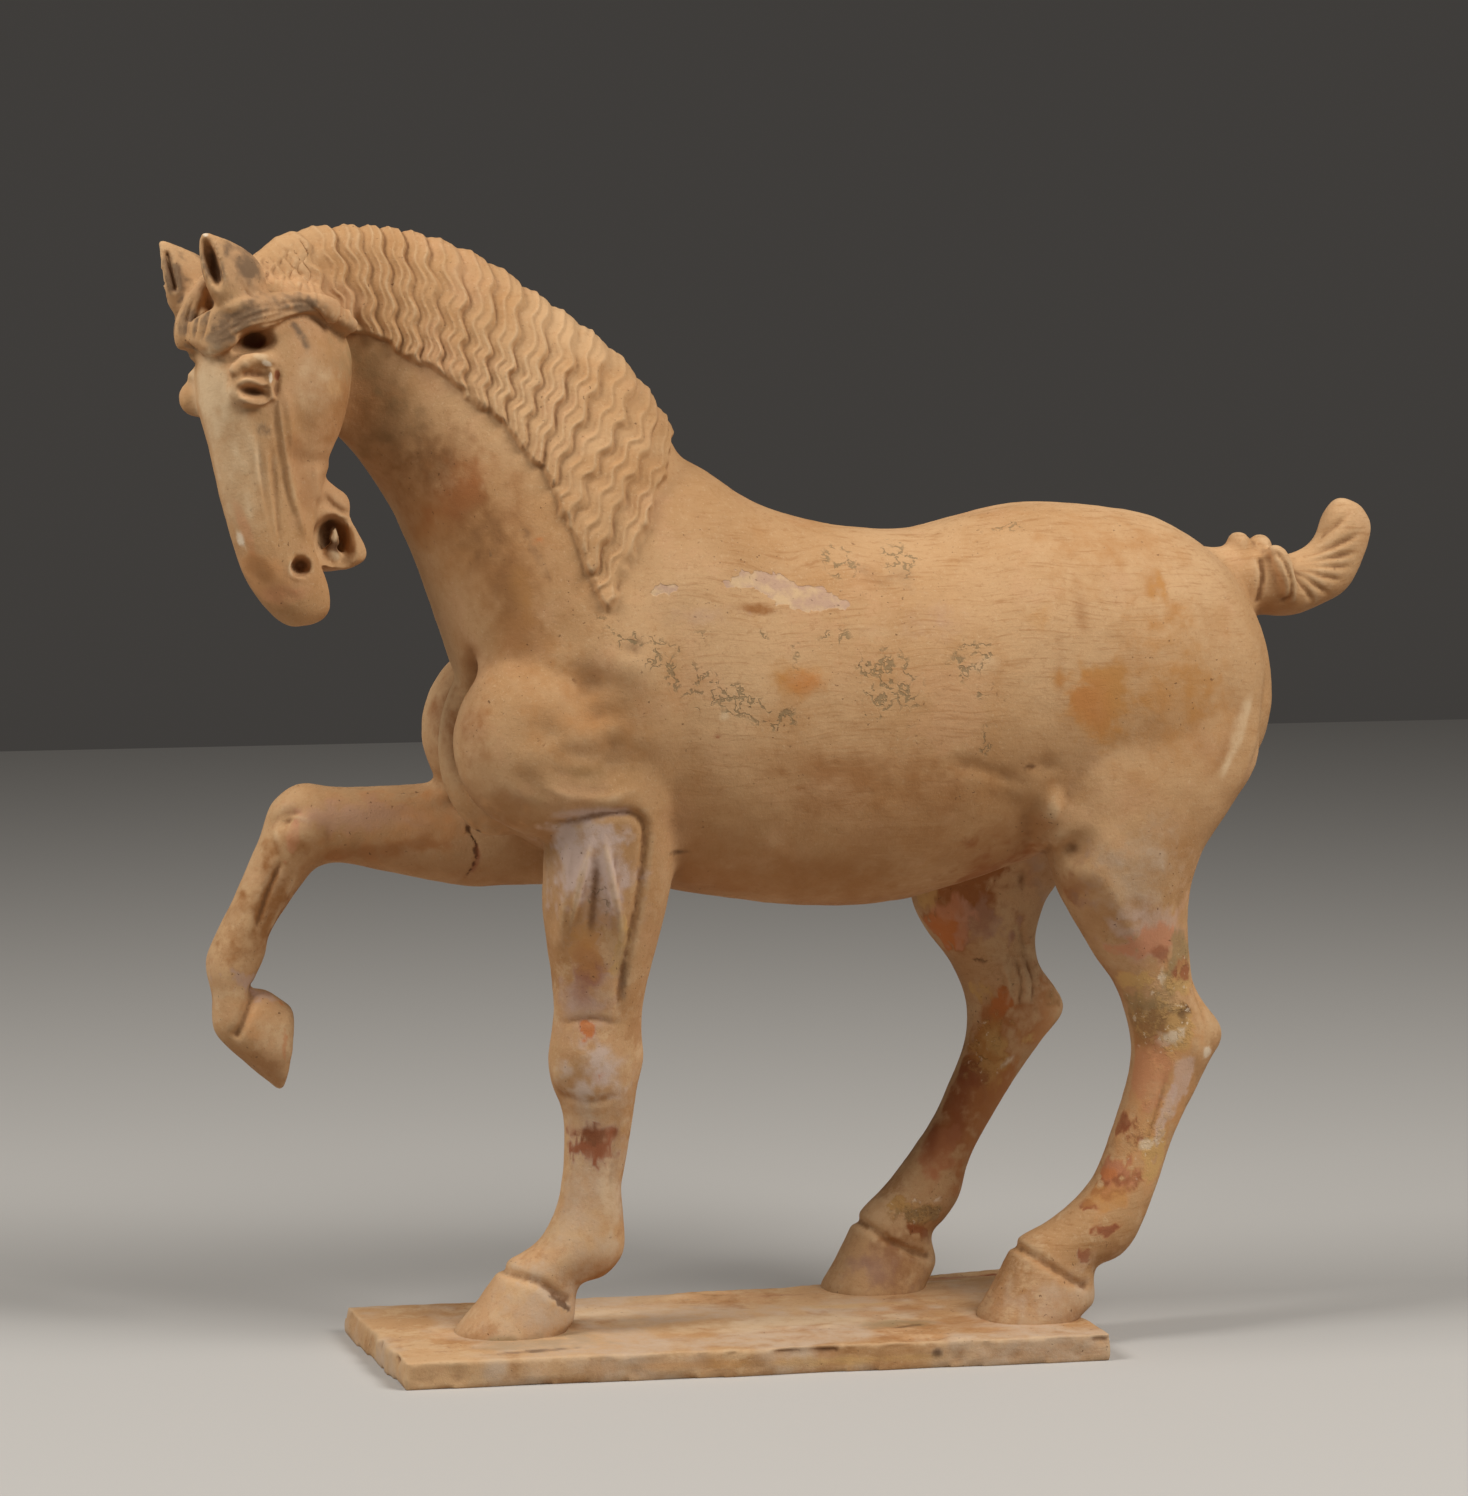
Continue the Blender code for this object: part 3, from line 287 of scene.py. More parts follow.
def add_ball(clay, axes, centre, radii, tilt=0.0):
    """An ellipsoid muscle; tilt turns it in the drawing plane."""
    turn = np.array(Matrix.Rotation(math.radians(tilt), 3, "Z"))
    shape = axes.rows.T @ turn @ np.diag(radii)
    place = Matrix.Identity(4)
    for i in range(3):
        for j in range(3):
            place[i][j] = shape[i][j]
        place[i][3] = axes.world(centre)[i]
    bmesh.ops.create_uvsphere(clay, u_segments=24, v_segments=16, radius=1.0, matrix=place)


def add_strand(clay, axes, points, side=1, flatten=1.0):
    """A lock or cord along its points; flatten thins it across the page."""
    rows = smooth_curve(points)
    rows[:, 2] *= side
    centres = axes.world(rows[:, :3])
    ways = np.gradient(centres, axis=0)
    ways /= np.linalg.norm(ways, axis=1)[:, None]
    angles = np.arange(RING_POINTS // 2) * 4 * math.pi / RING_POINTS
    rings = []
    for centre, way, radius in zip(centres, ways, rows[:, 3]):
        out = axes.rows[2] - way * (axes.rows[2] @ way)
        out /= np.linalg.norm(out)
        lift = np.cross(way, out)
        rings.append([centre + radius * (math.cos(a) * lift + flatten * math.sin(a) * out)
                      for a in angles])
    add_tube(clay, rings)


def model_masses():
    """The rough forms: trunk, neck, legs, tail and skull with the big muscles."""
    clay = bmesh.new()
    add_loft(clay, SIDE_VIEW, TRUNK, square=2.15)
    add_loft(clay, SIDE_VIEW, NECK, egg=0.12)
    add_loft(clay, SIDE_VIEW, TAIL)
    add_loft(clay, SIDE_VIEW, RAISED_FORE)
    for leg in (NEAR_FORE, NEAR_HIND, FAR_HIND):
        toe, ground, heel, _, centre, half = leg[-1]
        luted = (toe, ground - SOLE_LUTING / UNIT, heel, ground - SOLE_LUTING / UNIT, centre, half)
        add_loft(clay, SIDE_VIEW, leg + (luted,))
    add_loft(clay, HEAD_PROFILE, SKULL, square=2.5, egg=0.1)
    for side in BOTH:
        add_ball(clay, SIDE_VIEW, (-81 - side, 275, 33 * side), (45.5, 44, 29), tilt=-8)
        add_ball(clay, SIDE_VIEW, (-46, 300, 36 * side), (38, 64, 29), tilt=12)
        add_ball(clay, SIDE_VIEW, (181, 296, 32 * side), (58, 62, 37), tilt=-20)
        add_ball(clay, HEAD_PROFILE, (-33, -10, 14 * side), (30, 37, 13))
    add_ball(clay, SIDE_VIEW, (-98, 273, 0), (28, 44, 15), tilt=-4)
    return clay


def model_details(clay):
    """The smaller forms laid on the masses: jaw, locks, ears, brows, eyes and tail ties."""
    add_loft(clay, HEAD_PROFILE, LOWER_JAW, square=2.3)
    add_loft(clay, HEAD_PROFILE, TEMPLE_LOCK)
    add_strand(clay, HEAD_PROFILE, FORELOCK, flatten=0.8)
    add_loft(clay, HEAD_PROFILE, EAR)
    add_loft(clay, HEAD_PROFILE, [(a, b - FAR_EAR_LIFT, c, d - FAR_EAR_LIFT, left, half)
                                  for a, b, c, d, left, half in EAR], side=-1)
    add_strand(clay, HEAD_PROFILE, NEAR_BROW)
    add_strand(clay, HEAD_PROFILE, FAR_BROW)
    add_ball(clay, HEAD_PROFILE, (-7, -1, 15.5), (10.5, 9, 8))
    add_ball(clay, HEAD_PROFILE, (-3.8, -2.7, -19), (8, 8.5, 8))
    for x, z in ((245, 355), (255.5, 353.5)):
        add_ball(clay, SIDE_VIEW, (x, z, 0), (5, 6, 9))
    add_strand(clay, SIDE_VIEW, TAIL_STRAP)
    add_strand(clay, SIDE_VIEW, TAIL_STRAP, side=-1)


class Skin:
    """The clay's surface as arrays, for carving: points and the way that each one faces."""

    def __init__(self, mesh):
        self.mesh = mesh
        self.points = np.empty(len(mesh.vertices) * 3, np.float32)
        mesh.vertices.foreach_get("co", self.points)
        self.points = self.points.reshape(-1, 3).astype(float)
        self.face_ways()

    def face_ways(self):
        """Read the normals afresh from the carved points."""
        self.mesh.vertices.foreach_set("co", self.points.astype(np.float32).ravel())
        self.mesh.update()
        normals = np.empty(len(self.points) * 3, np.float32)
        self.mesh.vertices.foreach_get("normal", normals)
        self.normals = normals.reshape(-1, 3).astype(float)

    def push(self, amount, way=None):
        self.points += (self.normals if way is None else way) * amount[:, None]


def ramp(values, low, high):
    """0 below low, 1 above high and smooth between."""
    t = np.clip((values - low) / (high - low), 0, 1)
    return t * t * (3 - 2 * t)


def facing(skin, way):
    return ramp(skin.normals @ way, 0.0, 0.45)


def line_places(points, line):
    """How far each point is from a polyline, left of it or right, and how far along it."""
    lengths = np.linalg.norm(np.diff(line, axis=0), axis=1)
    run = np.concatenate([[0], np.cumsum(lengths)]) / lengths.sum()
    best = np.full(len(points), np.inf)
    spot = np.zeros(len(points))
    left = np.zeros(len(points), bool)
    for start, end, from_run, to_run in zip(line, line[1:], run, run[1:]):
        step = end - start
        t = np.clip((points - start) @ step / (step @ step), 0, 1)
        off = points - start - t[:, None] * step
        gap = np.linalg.norm(off, axis=1)
        closer = gap < best
        best[closer] = gap[closer]
        spot[closer] = (from_run + t * (to_run - from_run))[closer]
        left[closer] = (step[0] * off[:, 1] - step[1] * off[:, 0])[closer] > 0
    return best, left, spot


def draw_line(skin, axes, line, reach, profile, side=None, zone=None, fade=0.35, way=None):
    """Move the skin near a line drawn on the page by a profile across that line.

    profile takes the distance from the line, which is negative on its right. side keeps to
    the skin that faces that way across the page, and zone to a range across it.
    """
    local = axes.local(skin.points)
    line = smooth_curve(line)
    low, high = line.min(axis=0) - reach, line.max(axis=0) + reach
    here = np.all((local[:, :2] > low) & (local[:, :2] < high), axis=1)
    if zone is not None:
        here &= (local[:, 2] > zone[0]) & (local[:, 2] < zone[1])
    gap, left, spot = line_places(local[here, :2], line)
    ends = np.minimum(spot, 1 - spot)
    amount = np.zeros(len(local))
    amount[here] = profile(np.where(left, gap, -gap)) * ramp(ends, -0.01, fade)
    if side is not None:
        amount *= facing(skin, axes.rows[2] * side)
    skin.push(amount, way)


def stroke(skin, axes, line, width, lift, side=None, zone=None, fade=0.35, way=None):
    """A soft ridge along a line, or a groove where lift is negative."""
    draw_line(skin, axes, line, 3 * width, lambda gap: lift * np.exp(-(gap / width) ** 2),
              side, zone, fade, way)


def step(skin, axes, line, lift, soft, edge, side=None, zone=None, fade=0.25, drop=0.0, way=None):
    """A crisp step along a line: the skin left of it is raised and the skin right of it sunk.

    Both fall away over soft, and edge is half the width of the step itself.
    """
    def profile(gap):
        over = ramp(gap, -edge, edge)
        return (lift * over - drop * (1 - over)) * np.exp(-np.abs(gap) / soft)
    draw_line(skin, axes, line, 3 * soft, profile, side, zone, fade, way)


def strokes(skin, axes, rows, side=None, zone=None):
    """Strokes from rows of a line, its width, its lift and how softly it ends."""
    for line, width, lift, fade in rows:
        stroke(skin, axes, line, width, lift, side, zone, fade)


def oval_places(page, centre, radii, tilt):
    """Where places on the page lie in a tilted oval, counted in its half sizes."""
    turn = math.radians(tilt)
    x, y = page[:, 0] - centre[0], page[:, 1] - centre[1]
    return ((x * math.cos(turn) + y * math.sin(turn)) / radii[0],
            (y * math.cos(turn) - x * math.sin(turn)) / radii[1])


def dent(skin, axes, centre, radii, lift, side, firm=1.0, way=None, tilt=0.0):
    """A dimple or bump; firm over 1 gives it a flat floor and a steep rim."""
    u, v = oval_places(axes.local(skin.points), centre, radii, tilt)
    skin.push(lift * np.exp(-(u * u + v * v) ** firm) * facing(skin, axes.rows[2] * side), way)


def dents(skin, axes, rows, side, firm=1.0):
    """Dimples and bumps from rows of a middle, half sizes and a lift."""
    for centre, radii, lift in rows:
        dent(skin, axes, centre, radii, lift, side, firm)


def lock_places(page):
    """Where points lie in the mane: along the row of locks, down the lock, and its length."""
    roots = smooth_curve(LOCK_ROOTS, 4)
    ends = smooth_curve(LOCK_ENDS, 4)
    ways = ends - roots
    lengths = np.linalg.norm(ways, axis=1)
    offsets = page[:, None, :] - roots[None]
    sides = (ways[None, :, 0] * offsets[..., 1] - ways[None, :, 1] * offsets[..., 0]) / lengths
    last = len(roots) - 1
    behind = np.argmax(sides < 0, axis=1)
    behind[np.all(sides >= 0, axis=1)] = last
    behind = np.clip(behind, 1, last)
    rows = np.arange(len(page))
    one, two = sides[rows, behind - 1], sides[rows, behind]
    part = np.clip(one / (one - two + 1e-9), -2, 3)
    row = (behind - 1 + part) / last
    mix = part[:, None]
    root = roots[behind - 1] * (1 - mix) + roots[behind] * mix
    way = ways[behind - 1] * (1 - mix) + ways[behind] * mix
    down = ((page - root) * way).sum(axis=1) / (way * way).sum(axis=1)
    return row, down, np.linalg.norm(way, axis=1)


def carve_chest(skin):
    for side in BOTH:
        groove = [(side * y, z) for y, z in ((27, 318), (18, 302), (13, 284), (12, 264), (16, 250),
                                             (26, 238), (38, 230))]
        stroke(skin, CHEST_VIEW, groove, 4, -6, side=1, fade=0.2)
        stroke(skin, SIDE_VIEW, ((-118, 304), (-112, 311), (-106, 320), (-101, 332), (-97, 348)), 6, -2,
               side, fade=0.5)
        step(skin, SIDE_VIEW, ((-84, 308), (-77, 299), (-68, 292), (-59, 292), (-50, 300)), 1.8, 14, 6,
             side, fade=0.5)
        dent(skin, SIDE_VIEW, (-67, 288), (16, 8), -1.2, side)
        dent(skin, SIDE_VIEW, (-88, 281), (7, 5), -1.2, side, tilt=-35)
        dent(skin, SIDE_VIEW, (-76, 276), (10, 8), 1.2, side)
        dent(skin, SIDE_VIEW, (-60, 264), (12, 6), -1.2, side)
        stroke(skin, SIDE_VIEW, ((-112, 268), (-104, 257), (-94, 252), (-80, 250), (-64, 252)), 4, 1.2,
               side)


def carve_hindquarters(skin):
    for side in BOTH:
        step(skin, SIDE_VIEW, ((140, 208), (136, 220), (131, 233), (124, 244), (112, 252), (96, 256)),
             -2.2, 12, 5, side, fade=0.5)
        dents(skin, SIDE_VIEW, (((139, 243), (7, 7), 2.2), ((143, 229), (6, 6), 1.6),
                                ((152, 228), (6, 5), -1.5)), side)
        stroke(skin, SIDE_VIEW, ((154, 224), (164, 207), (175, 188), (187, 168)), 4.5, 1.4, side,
               fade=0.4)
        stroke(skin, SIDE_VIEW, ((196, 214), (199, 196), (201, 178), (204, 160)), 3, -1.2, side,
               fade=0.4)
        stroke(skin, SIDE_VIEW, ((243, 318), (245, 300), (243, 284), (238, 266), (229, 248), (218, 236)),
               3, -1.4, side)
    stroke(skin, TOP_VIEW, ((80, 0), (130, 0), (180, 0), (235, 0)), 9, -2, side=1, fade=0.5)
    stroke(skin, RUMP_VIEW, ((0, 322), (0, 290), (0, 260), (0, 225)), 8, -3.5, side=1, fade=0.5)


# The cuff of the near foreleg and the tendons under it, in the side view
CUFF = ((-93, 242), (-79, 242), (-67, 245), (-54, 246), (-47, 242), (-45, 233), (-46, 219),
        (-48, 202), (-51, 184), (-54, 153))
CUFF_TENDONS = ((((-68, 236), (-72, 221), (-76, 208), (-79, 192), (-80, 172)), 3, 1.5, 0.3),
                (((-66, 236), (-62, 221), (-58, 208), (-55, 192), (-54, 172)), 3, 1.5, 0.3),
                (((-67, 222), (-67, 205), (-67, 180)), 5, -1.6, 0.4))


def carve_legs(skin):
    near, far = (-80, 0), (0, 80)
    step(skin, SIDE_VIEW, CUFF, 1.8, 7, 1.8, NEAR, fade=0.12)
    stroke(skin, SIDE_VIEW, CUFF, 2, -2.4, NEAR, fade=0.12)
    strokes(skin, SIDE_VIEW, CUFF_TENDONS, NEAR, near)
    for zone, line in ((near, ((-107, 41), (-97, 39), (-88, 36), (-81, 31), (-73, 26))),
                       (near, ((122, 47), (132, 42), (141, 36), (150, 30), (159, 26))),
                       (far, ((73, 45), (81, 41), (88, 36), (98, 31), (110, 27))),
                       (far, ((-202, 164), (-206, 155), (-209, 148), (-213, 140)))):
        stroke(skin, SIDE_VIEW, line, 2, -2.4, zone=zone, fade=0.05)
    for side in BOTH:
        stroke(skin, SIDE_VIEW, ((147, 186), (154, 168), (160, 150)), 2.5, -1.5, side, far)
    stroke(skin, SIDE_VIEW, ((-53, 114), (-54, 92), (-56, 66)), 2.5, -1.2, NEAR, near)


def press(skin, axes, centre, radii, floor, side=1, firm=3.0, tilt=0.0, slope=0.0):
    """Press a pocket in across the page, down to a floor at that height across it.

    slope is how much the floor rises along the page.
    """
    local = axes.local(skin.points)
    u, v = oval_places(local, centre, radii, tilt)
    across = local[:, 2] * side
    depth = np.clip(across - floor - slope * (local[:, 0] - centre[0]), 0, None)
    amount = np.exp(-(u * u + v * v) ** firm) * depth
    amount[across < floor - 1] = 0
    skin.push(-amount, axes.rows[2] * side)


def ear_view(side):
    """Looking into an ear: its page runs back and outwards, and down."""
    forward, down, left = HEAD_PROFILE.rows
    left = left * side
    return Axes(HEAD_PROFILE.origin, (left - forward) / math.sqrt(2), down,
                (left + forward) / math.sqrt(2))


def carve_pockets(skin):
    """The openings of the mouth, nostrils and ears, and the pits over the eyes."""
    for side in BOTH:
        press(skin, HEAD_PROFILE, MOUTH, MOUTH_RADII, 3, side, tilt=-10, slope=-0.5)
        press(skin, HEAD_PROFILE, (-19, 77), (4.4, 3.4), 9, side)
        press(skin, HEAD_PROFILE, (-10.5, -20.5), (7.5, 4.5), 12, side)
        lift = FAR_EAR_LIFT if side < 0 else 0
        press(skin, ear_view(side), (10.8, -56 - lift), (2.9, 10), 8, tilt=-8)


# The cheek's edge, the temple lock's edges and the face's ridges, in the head's profile
CHEEK = ((-57, -25), (-62, -18), (-64, -12), (-64, -4), (-61, 6.5), (-56, 14), (-49, 24.5),
         (-42, 34))
LOCK_TOP = ((-62, -22), (-52, -30.5), (-43, -35.5), (-34, -39), (-24, -40.5), (-14, -40),
            (-4, -39), (4, -36))
LOCK_FOOT = ((11, -24), (8, -20.5), (3.4, -17.6), (-4.5, -21), (-13, -24.6), (-20, -25.8),
             (-27, -28.7), (-36, -30), (-44, -28), (-51, -22.8), (-60, -17))
PROFILE_LINES = ((((-17, -3), (-19, 8), (-20.5, 24), (-20, 42), (-20.5, 66)), 2, 1.8, 0.15),
                 (((-27, 8), (-28, 26), (-28, 48)), 5, -1.4, 0.35),
                 (((-15, 14), (-12, 36), (-9, 62)), 2.5, -0.8, 0.35),
                 (((-37, 47), (-43, 53), (-50, 57), (-57, 60)), 2, -1.5, 0.3))


def carve_head(skin):
    view = HEAD_PROFILE
    for side in BOTH:
        step(skin, view, CHEEK[::-1], 0.4, 8, 1.2, side, fade=0.12, drop=8, way=view.rows[2] * side)
        step(skin, view, LOCK_FOOT, 1.5, 5, 1.2, side, fade=0.08, drop=2.2)
        step(skin, view, LOCK_TOP, 1.2, 5, 1.2, side, fade=0.1, drop=1.6)
        strokes(skin, view, PROFILE_LINES, side)
    dent(skin, view, (-4.5, -0.3), (6.2, 2.8), -3, 1, firm=2)
    stroke(skin, HEAD_FRONT, ((0, -10), (0, 20), (0, 60)), 5, 0.8, side=1)
    for line in (((-9, -50), (-6, -44), (-3, -36), (0, -29), (3, -23)),
                 ((-4, -51), (-5, -44), (-6.6, -36.5), (-3, -31), (-1, -26))):
        stroke(skin, view, line, 1.8, -1.6, 1, (-14, 12), fade=0.2)


def grain(points, size, seed=0):
    """Smooth random values from -1 to 1 in space, about size apart."""
    cells = points / size + 31.7 * seed
    corner = np.floor(cells).astype(np.int64)
    part = cells - corner
    part = part * part * (3 - 2 * part)
    total = np.zeros(len(points))
    for dx in (0, 1):
        for dy in (0, 1):
            for dz in (0, 1):
                x, y, z = (corner + (dx, dy, dz)).T
                code = (x * 73856093) ^ (y * 19349663) ^ (z * 83492791)
                code = ((code ^ (code >> 13)) * 1274126177) & 0xFFFFFFFF
                value = ((code ^ (code >> 16)) & 0xFFFF) / 32767.5 - 1
                weight = np.ones(len(points))
                for axis, far_side in enumerate((dx, dy, dz)):
                    weight *= part[:, axis] if far_side else 1 - part[:, axis]
                total += value * weight
    return total


def by_mane(page):
    return (page[:, 0] > MANE_FRONT) & (page[:, 0] < MANE_BACK) & (page[:, 1] > MANE_FOOT)


def carve_mane(skin):
    """The crimped locks: thin wavy ridges with a hollow behind each, and finer strands."""
    page = SIDE_VIEW.local(skin.points)[:, :2]
    here = by_mane(page)
    spots = skin.points[here]
    row, down, length = lock_places(page[here])
    rough = grain(spots, 9, 1)
    ragged = 0.03 * grain(spots, 5, 2) + 0.03 * grain(spots, 11, 3)
    inside = ramp(1 - down + ragged, 0, MANE_EDGE) * ramp(row, -0.02, 0.1)
    inside *= ramp(1 - row + 0.4 * ragged, -0.01, 0.015)
    turn = 2 * math.pi * down * length / CRIMP_LENGTH + 1.5 * grain(spots, 34, 4)
    turn += 0.8 * grain(spots, 15, 7)
    wave = np.sin(turn) + 0.2 * rough
    swing = CRIMP_LEFT * CRIMP_SWING * ramp(down, 0.0, 0.3) * (1 - 0.35 * ramp(row, 0.5, 1))
    lock = row * LOCKS + swing * wave + 0.12 * grain(spots, 19, 5)
    main = np.interp(lock % 1, *LOCK_PROFILE)
    second = (2 * lock + 0.35 + 0.1 * rough) % 1
    main += 0.4 * np.exp(-((second - 0.5) / 0.14) ** 2)
    strands = np.sin(2 * math.pi * (lock * 4 + 0.3 * rough)) * (0.5 + 0.5 * grain(spots, 16, 6))
    crest = ramp(0.22 - down, 0, 0.22)
    form = FINE_RIDGE * (main - 0.2) * (1 - 0.5 * crest) + STRAND_RIDGE * strands
    form += CREST_SCALLOP * (np.sin(math.pi * (lock % 1)) - 0.6) * crest
    amount = np.zeros(len(page))
    amount[here] = inside * (LOCK_LIFT + form)
    skin.push(amount)
    skin.points[here] = neighbour_means(skin.mesh, skin.points, MANE_RUB)[here]


# The head as the photograph's camera sees it: to the right, down, and towards the camera
FACE_VIEW = Axes(HEAD_PROFILE.origin, (0.990, -0.141, 0), (-0.003, -0.021, -1),
                 (-0.141, -0.990, 0.021))
# What is both carved and painted on that page
EYE = (15.7, -2.9)
EYE_PIT = (16.5, -25)
NOSTRIL = (35.5, 71.5)
THROAT = (49.5, 60.5)
HAIR_SLIT = ((-20.5, -64), (-18.4, -54), (-16.3, -45))
# Lines of the near side of the face on that page: line, width, lift and how softly it ends
EYELIDS = (
    (((10.5, -9), (14, -10.6), (18, -10.4), (22, -9.6)), 1.0, -1.6, 0.3),
    (((9, -5.6), (12.5, -7.8), (16.5, -7.3), (19.5, -6.3), (23, -6.6)), 1.1, 1.5, 0.25))
FACE_LINES = (
    (((9.5, -1), (14, 1.2), (18.5, 2), (22, 0.8), (24, -2.5)), 0.8, 1.1, 0.2),
    (((10, 4), (15, 5), (20, 5)), 1.6, -0.9, 0.4),
    (((23.8, -14), (23.4, -10.5), (22.8, -7), (24, -2), (24.6, 1.5)), 1.3, 1.7, 0.15),
    (((26, -14), (26.6, -9), (26, -4), (25.6, 1)), 1.2, -1.5, 0.35),
    (((26.6, -2), (28, 12), (30.4, 27), (32.8, 41), (36.3, 53), (38, 63)), 1.3, 1.1, 0.12),
    (((24.6, 2), (25.6, 14), (27.4, 27), (30.2, 41), (34, 53)), 1.4, -0.6, 0.2),
    (((31.5, 16), (34, 28), (37, 42), (40, 54)), 3.2, -0.8, 0.3),
    (((15, 9), (16.5, 26), (19, 41), (22.4, 56), (25, 68)), 1.2, 0.7, 0.2),
    (((17.8, 12), (18.8, 29), (21, 47), (24.3, 64)), 1.0, -0.6, 0.25),
    (((23.4, 16), (24.6, 32), (26, 50), (27.3, 67)), 1.1, -0.7, 0.25),
    (((21, 18), (22, 34), (24, 50), (26, 63)), 0.9, 0.6, 0.2),
    (((43, 27), (42.4, 36), (44.5, 46)), 1.8, 1.0, 0.25),
    (((30, 18), (36.5, 25.5), (44, 27), (50, 23)), 3.5, -1.0, 0.3),
    (((33.5, 67), (31, 69.5), (31, 74), (34, 76.6), (37.5, 76.4)), 1.1, 0.8, 0.2),
    (((36, 67), (39, 68), (40.5, 71), (40, 75)), 1.0, 0.5, 0.3),
    (((47, 40), (50, 46), (57.5, 50.5)), 1.6, -1.3, 0.3),
    (((51, 50), (57, 52), (62, 60), (63.4, 68), (58, 73.4), (50, 72.6)), 0.9, 0.8, 0.1),
    (((45.5, 72), (47.5, 75), (47, 78)), 0.8, -0.9, 0.2),
    (((24, 79), (30, 84), (38, 86)), 2.5, -0.5, 0.4),
    (HAIR_SLIT, 1.3, -2.6, 0.15))


def open_mouth(skin):
    """Deepen the mouth, the near nostril and the pit over the near eye."""
    press(skin, FACE_VIEW, (53.5, 62), (8, 10.5), -20.5, firm=3, slope=0.45)
    press(skin, FACE_VIEW, THROAT, (6.3, 9.6), -28, firm=4)
    press(skin, FACE_VIEW, NOSTRIL, (3.9, 3.6), -4, firm=4)
    press(skin, FACE_VIEW, EYE_PIT, (5.6, 4.2), -3, firm=2)


def model_mouth(clay):
    """A tooth, a thin strand and the tongue inside the open mouth."""
    for points in (((50.4, 61, -20.5, 2.3), (50.6, 58.5, -20.2, 1.5), (50.8, 55.6, -20, 0.5)),
                   ((52.6, 61.5, -20.5, 1.2), (49.8, 63.4, -20.5, 1.4), (47.5, 64, -22, 1)),
                   ((46, 67, -24, 2.4), (49.5, 67.5, -21, 3.1), (53, 69.5, -20, 2.6))):
        add_strand(clay, FACE_VIEW, points)


def carve_face(skin):
    """The near eye with its lids and folds, the ridges down the face and the lips."""
    view = FACE_VIEW
    brow = ((10, -13), (15, -16.5), (19.5, -17.5), (23.5, -16.5), (24.8, -13))
    stroke(skin, view, brow, 2.4, 1.5, 1, fade=0.2)
    dent(skin, view, (21.5, -15.5), (3, 2.2), 1.0, 1)
    strokes(skin, view, EYELIDS, 1)
    dent(skin, view, EYE, (5.6, 2.1), -3.6, 1, firm=2, tilt=14, way=view.rows[2])
    strokes(skin, view, FACE_LINES, 1)
    carve_hair(skin)


def carve_hair(skin):
    """Combed lines on the temple lock, the forelock and the ears, and the mane's first waves."""
    view = FACE_VIEW
    top = smooth_curve(((-1, -29), (14, -38.5), (31, -43.5), (43, -40), (54, -31)), 3)
    foot = smooth_curve(((0, -22), (13, -24.5), (27, -31), (42, -32), (56, -26.5)), 3)
    for number in range(1, 8):
        share = number / 8
        line = top * (1 - share) + foot * share
        line[:, 1] += 1.1 * np.sin(line[:, 0] / (4 + number % 3) + 2.3 * number)
        stroke(skin, view, line, 0.7, -0.35 if number % 3 else -0.6, 1, fade=0.25)
    for number in range(8):
        lean = 1.3 * number
        depth = -0.7 if number % 3 == 1 else -0.25
        combed = (
            (((1 - lean, -45), (-1.5 - 1.1 * lean, -34), (-5 - 0.8 * lean, -23)), 0.9, depth, 0.3),
            (((2 + lean, -62 + 1.2 * lean), (5 + 1.1 * lean, -53 + lean), (7 + 1.6 * lean, -42)),
             0.5, -0.22, 0.3),
            (((-17 + 1.1 * lean, -58 + lean), (-15 + lean, -48)), 0.5, -0.2, 0.3))
        strokes(skin, view, combed, 1)
    down = np.linspace(0, 1, 13)
    for number in range(6):
        wave = 1.0 * np.sin(2 * math.pi * 2.8 * down + 1.9 * number)
        line = np.column_stack([19 + 3.2 * number + 4.5 * down + wave,
                                -63 - 1.2 * number + (18 + 1.6 * number) * down])
        strokes(skin, view, ((line, 0.9, 0.6, 0.3), (line + (1.6, 0), 0.7, -0.5, 0.3)), 1)


# The tail in the side view: its knot, the tips of its hair lines and the knot's two straps
TAIL_KNOT = (265, 347)
TAIL_TIPS = ((279, 327), (287, 331), (294, 338), (298, 345), (301, 352), (303, 361), (297, 370))
KNOT_STRAPS = (((256, 353), (260, 348), (264, 339), (264, 331), (260, 330)),
               ((251, 350), (252, 342), (251, 334), (250, 328)))


def carve_tail(skin):
    for side in BOTH:
        for x, z in TAIL_TIPS:
            bend = (0.5 * (TAIL_KNOT[0] + x), 0.5 * (TAIL_KNOT[1] + z) - 1)
            stroke(skin, SIDE_VIEW, (TAIL_KNOT, bend, (x, z)), 1.6, -1.3, side, fade=0.3)
        for line in KNOT_STRAPS:
            stroke(skin, SIDE_VIEW, line, 1.3, -1.2, side, fade=0.1)


def behind_foreleg(points):
    """Where the right side's upper arm is, which the left side's forms leave alone."""
    return (points[:, 1] > 0) & (points[:, 0] > UPPER_ARM[0]) & (points[:, 0] < UPPER_ARM[1])


# The raised foreleg's crack, in the side view
CRACK = ((-110, 236), (-108, 230), (-105, 224), (-106, 216), (-110, 207))
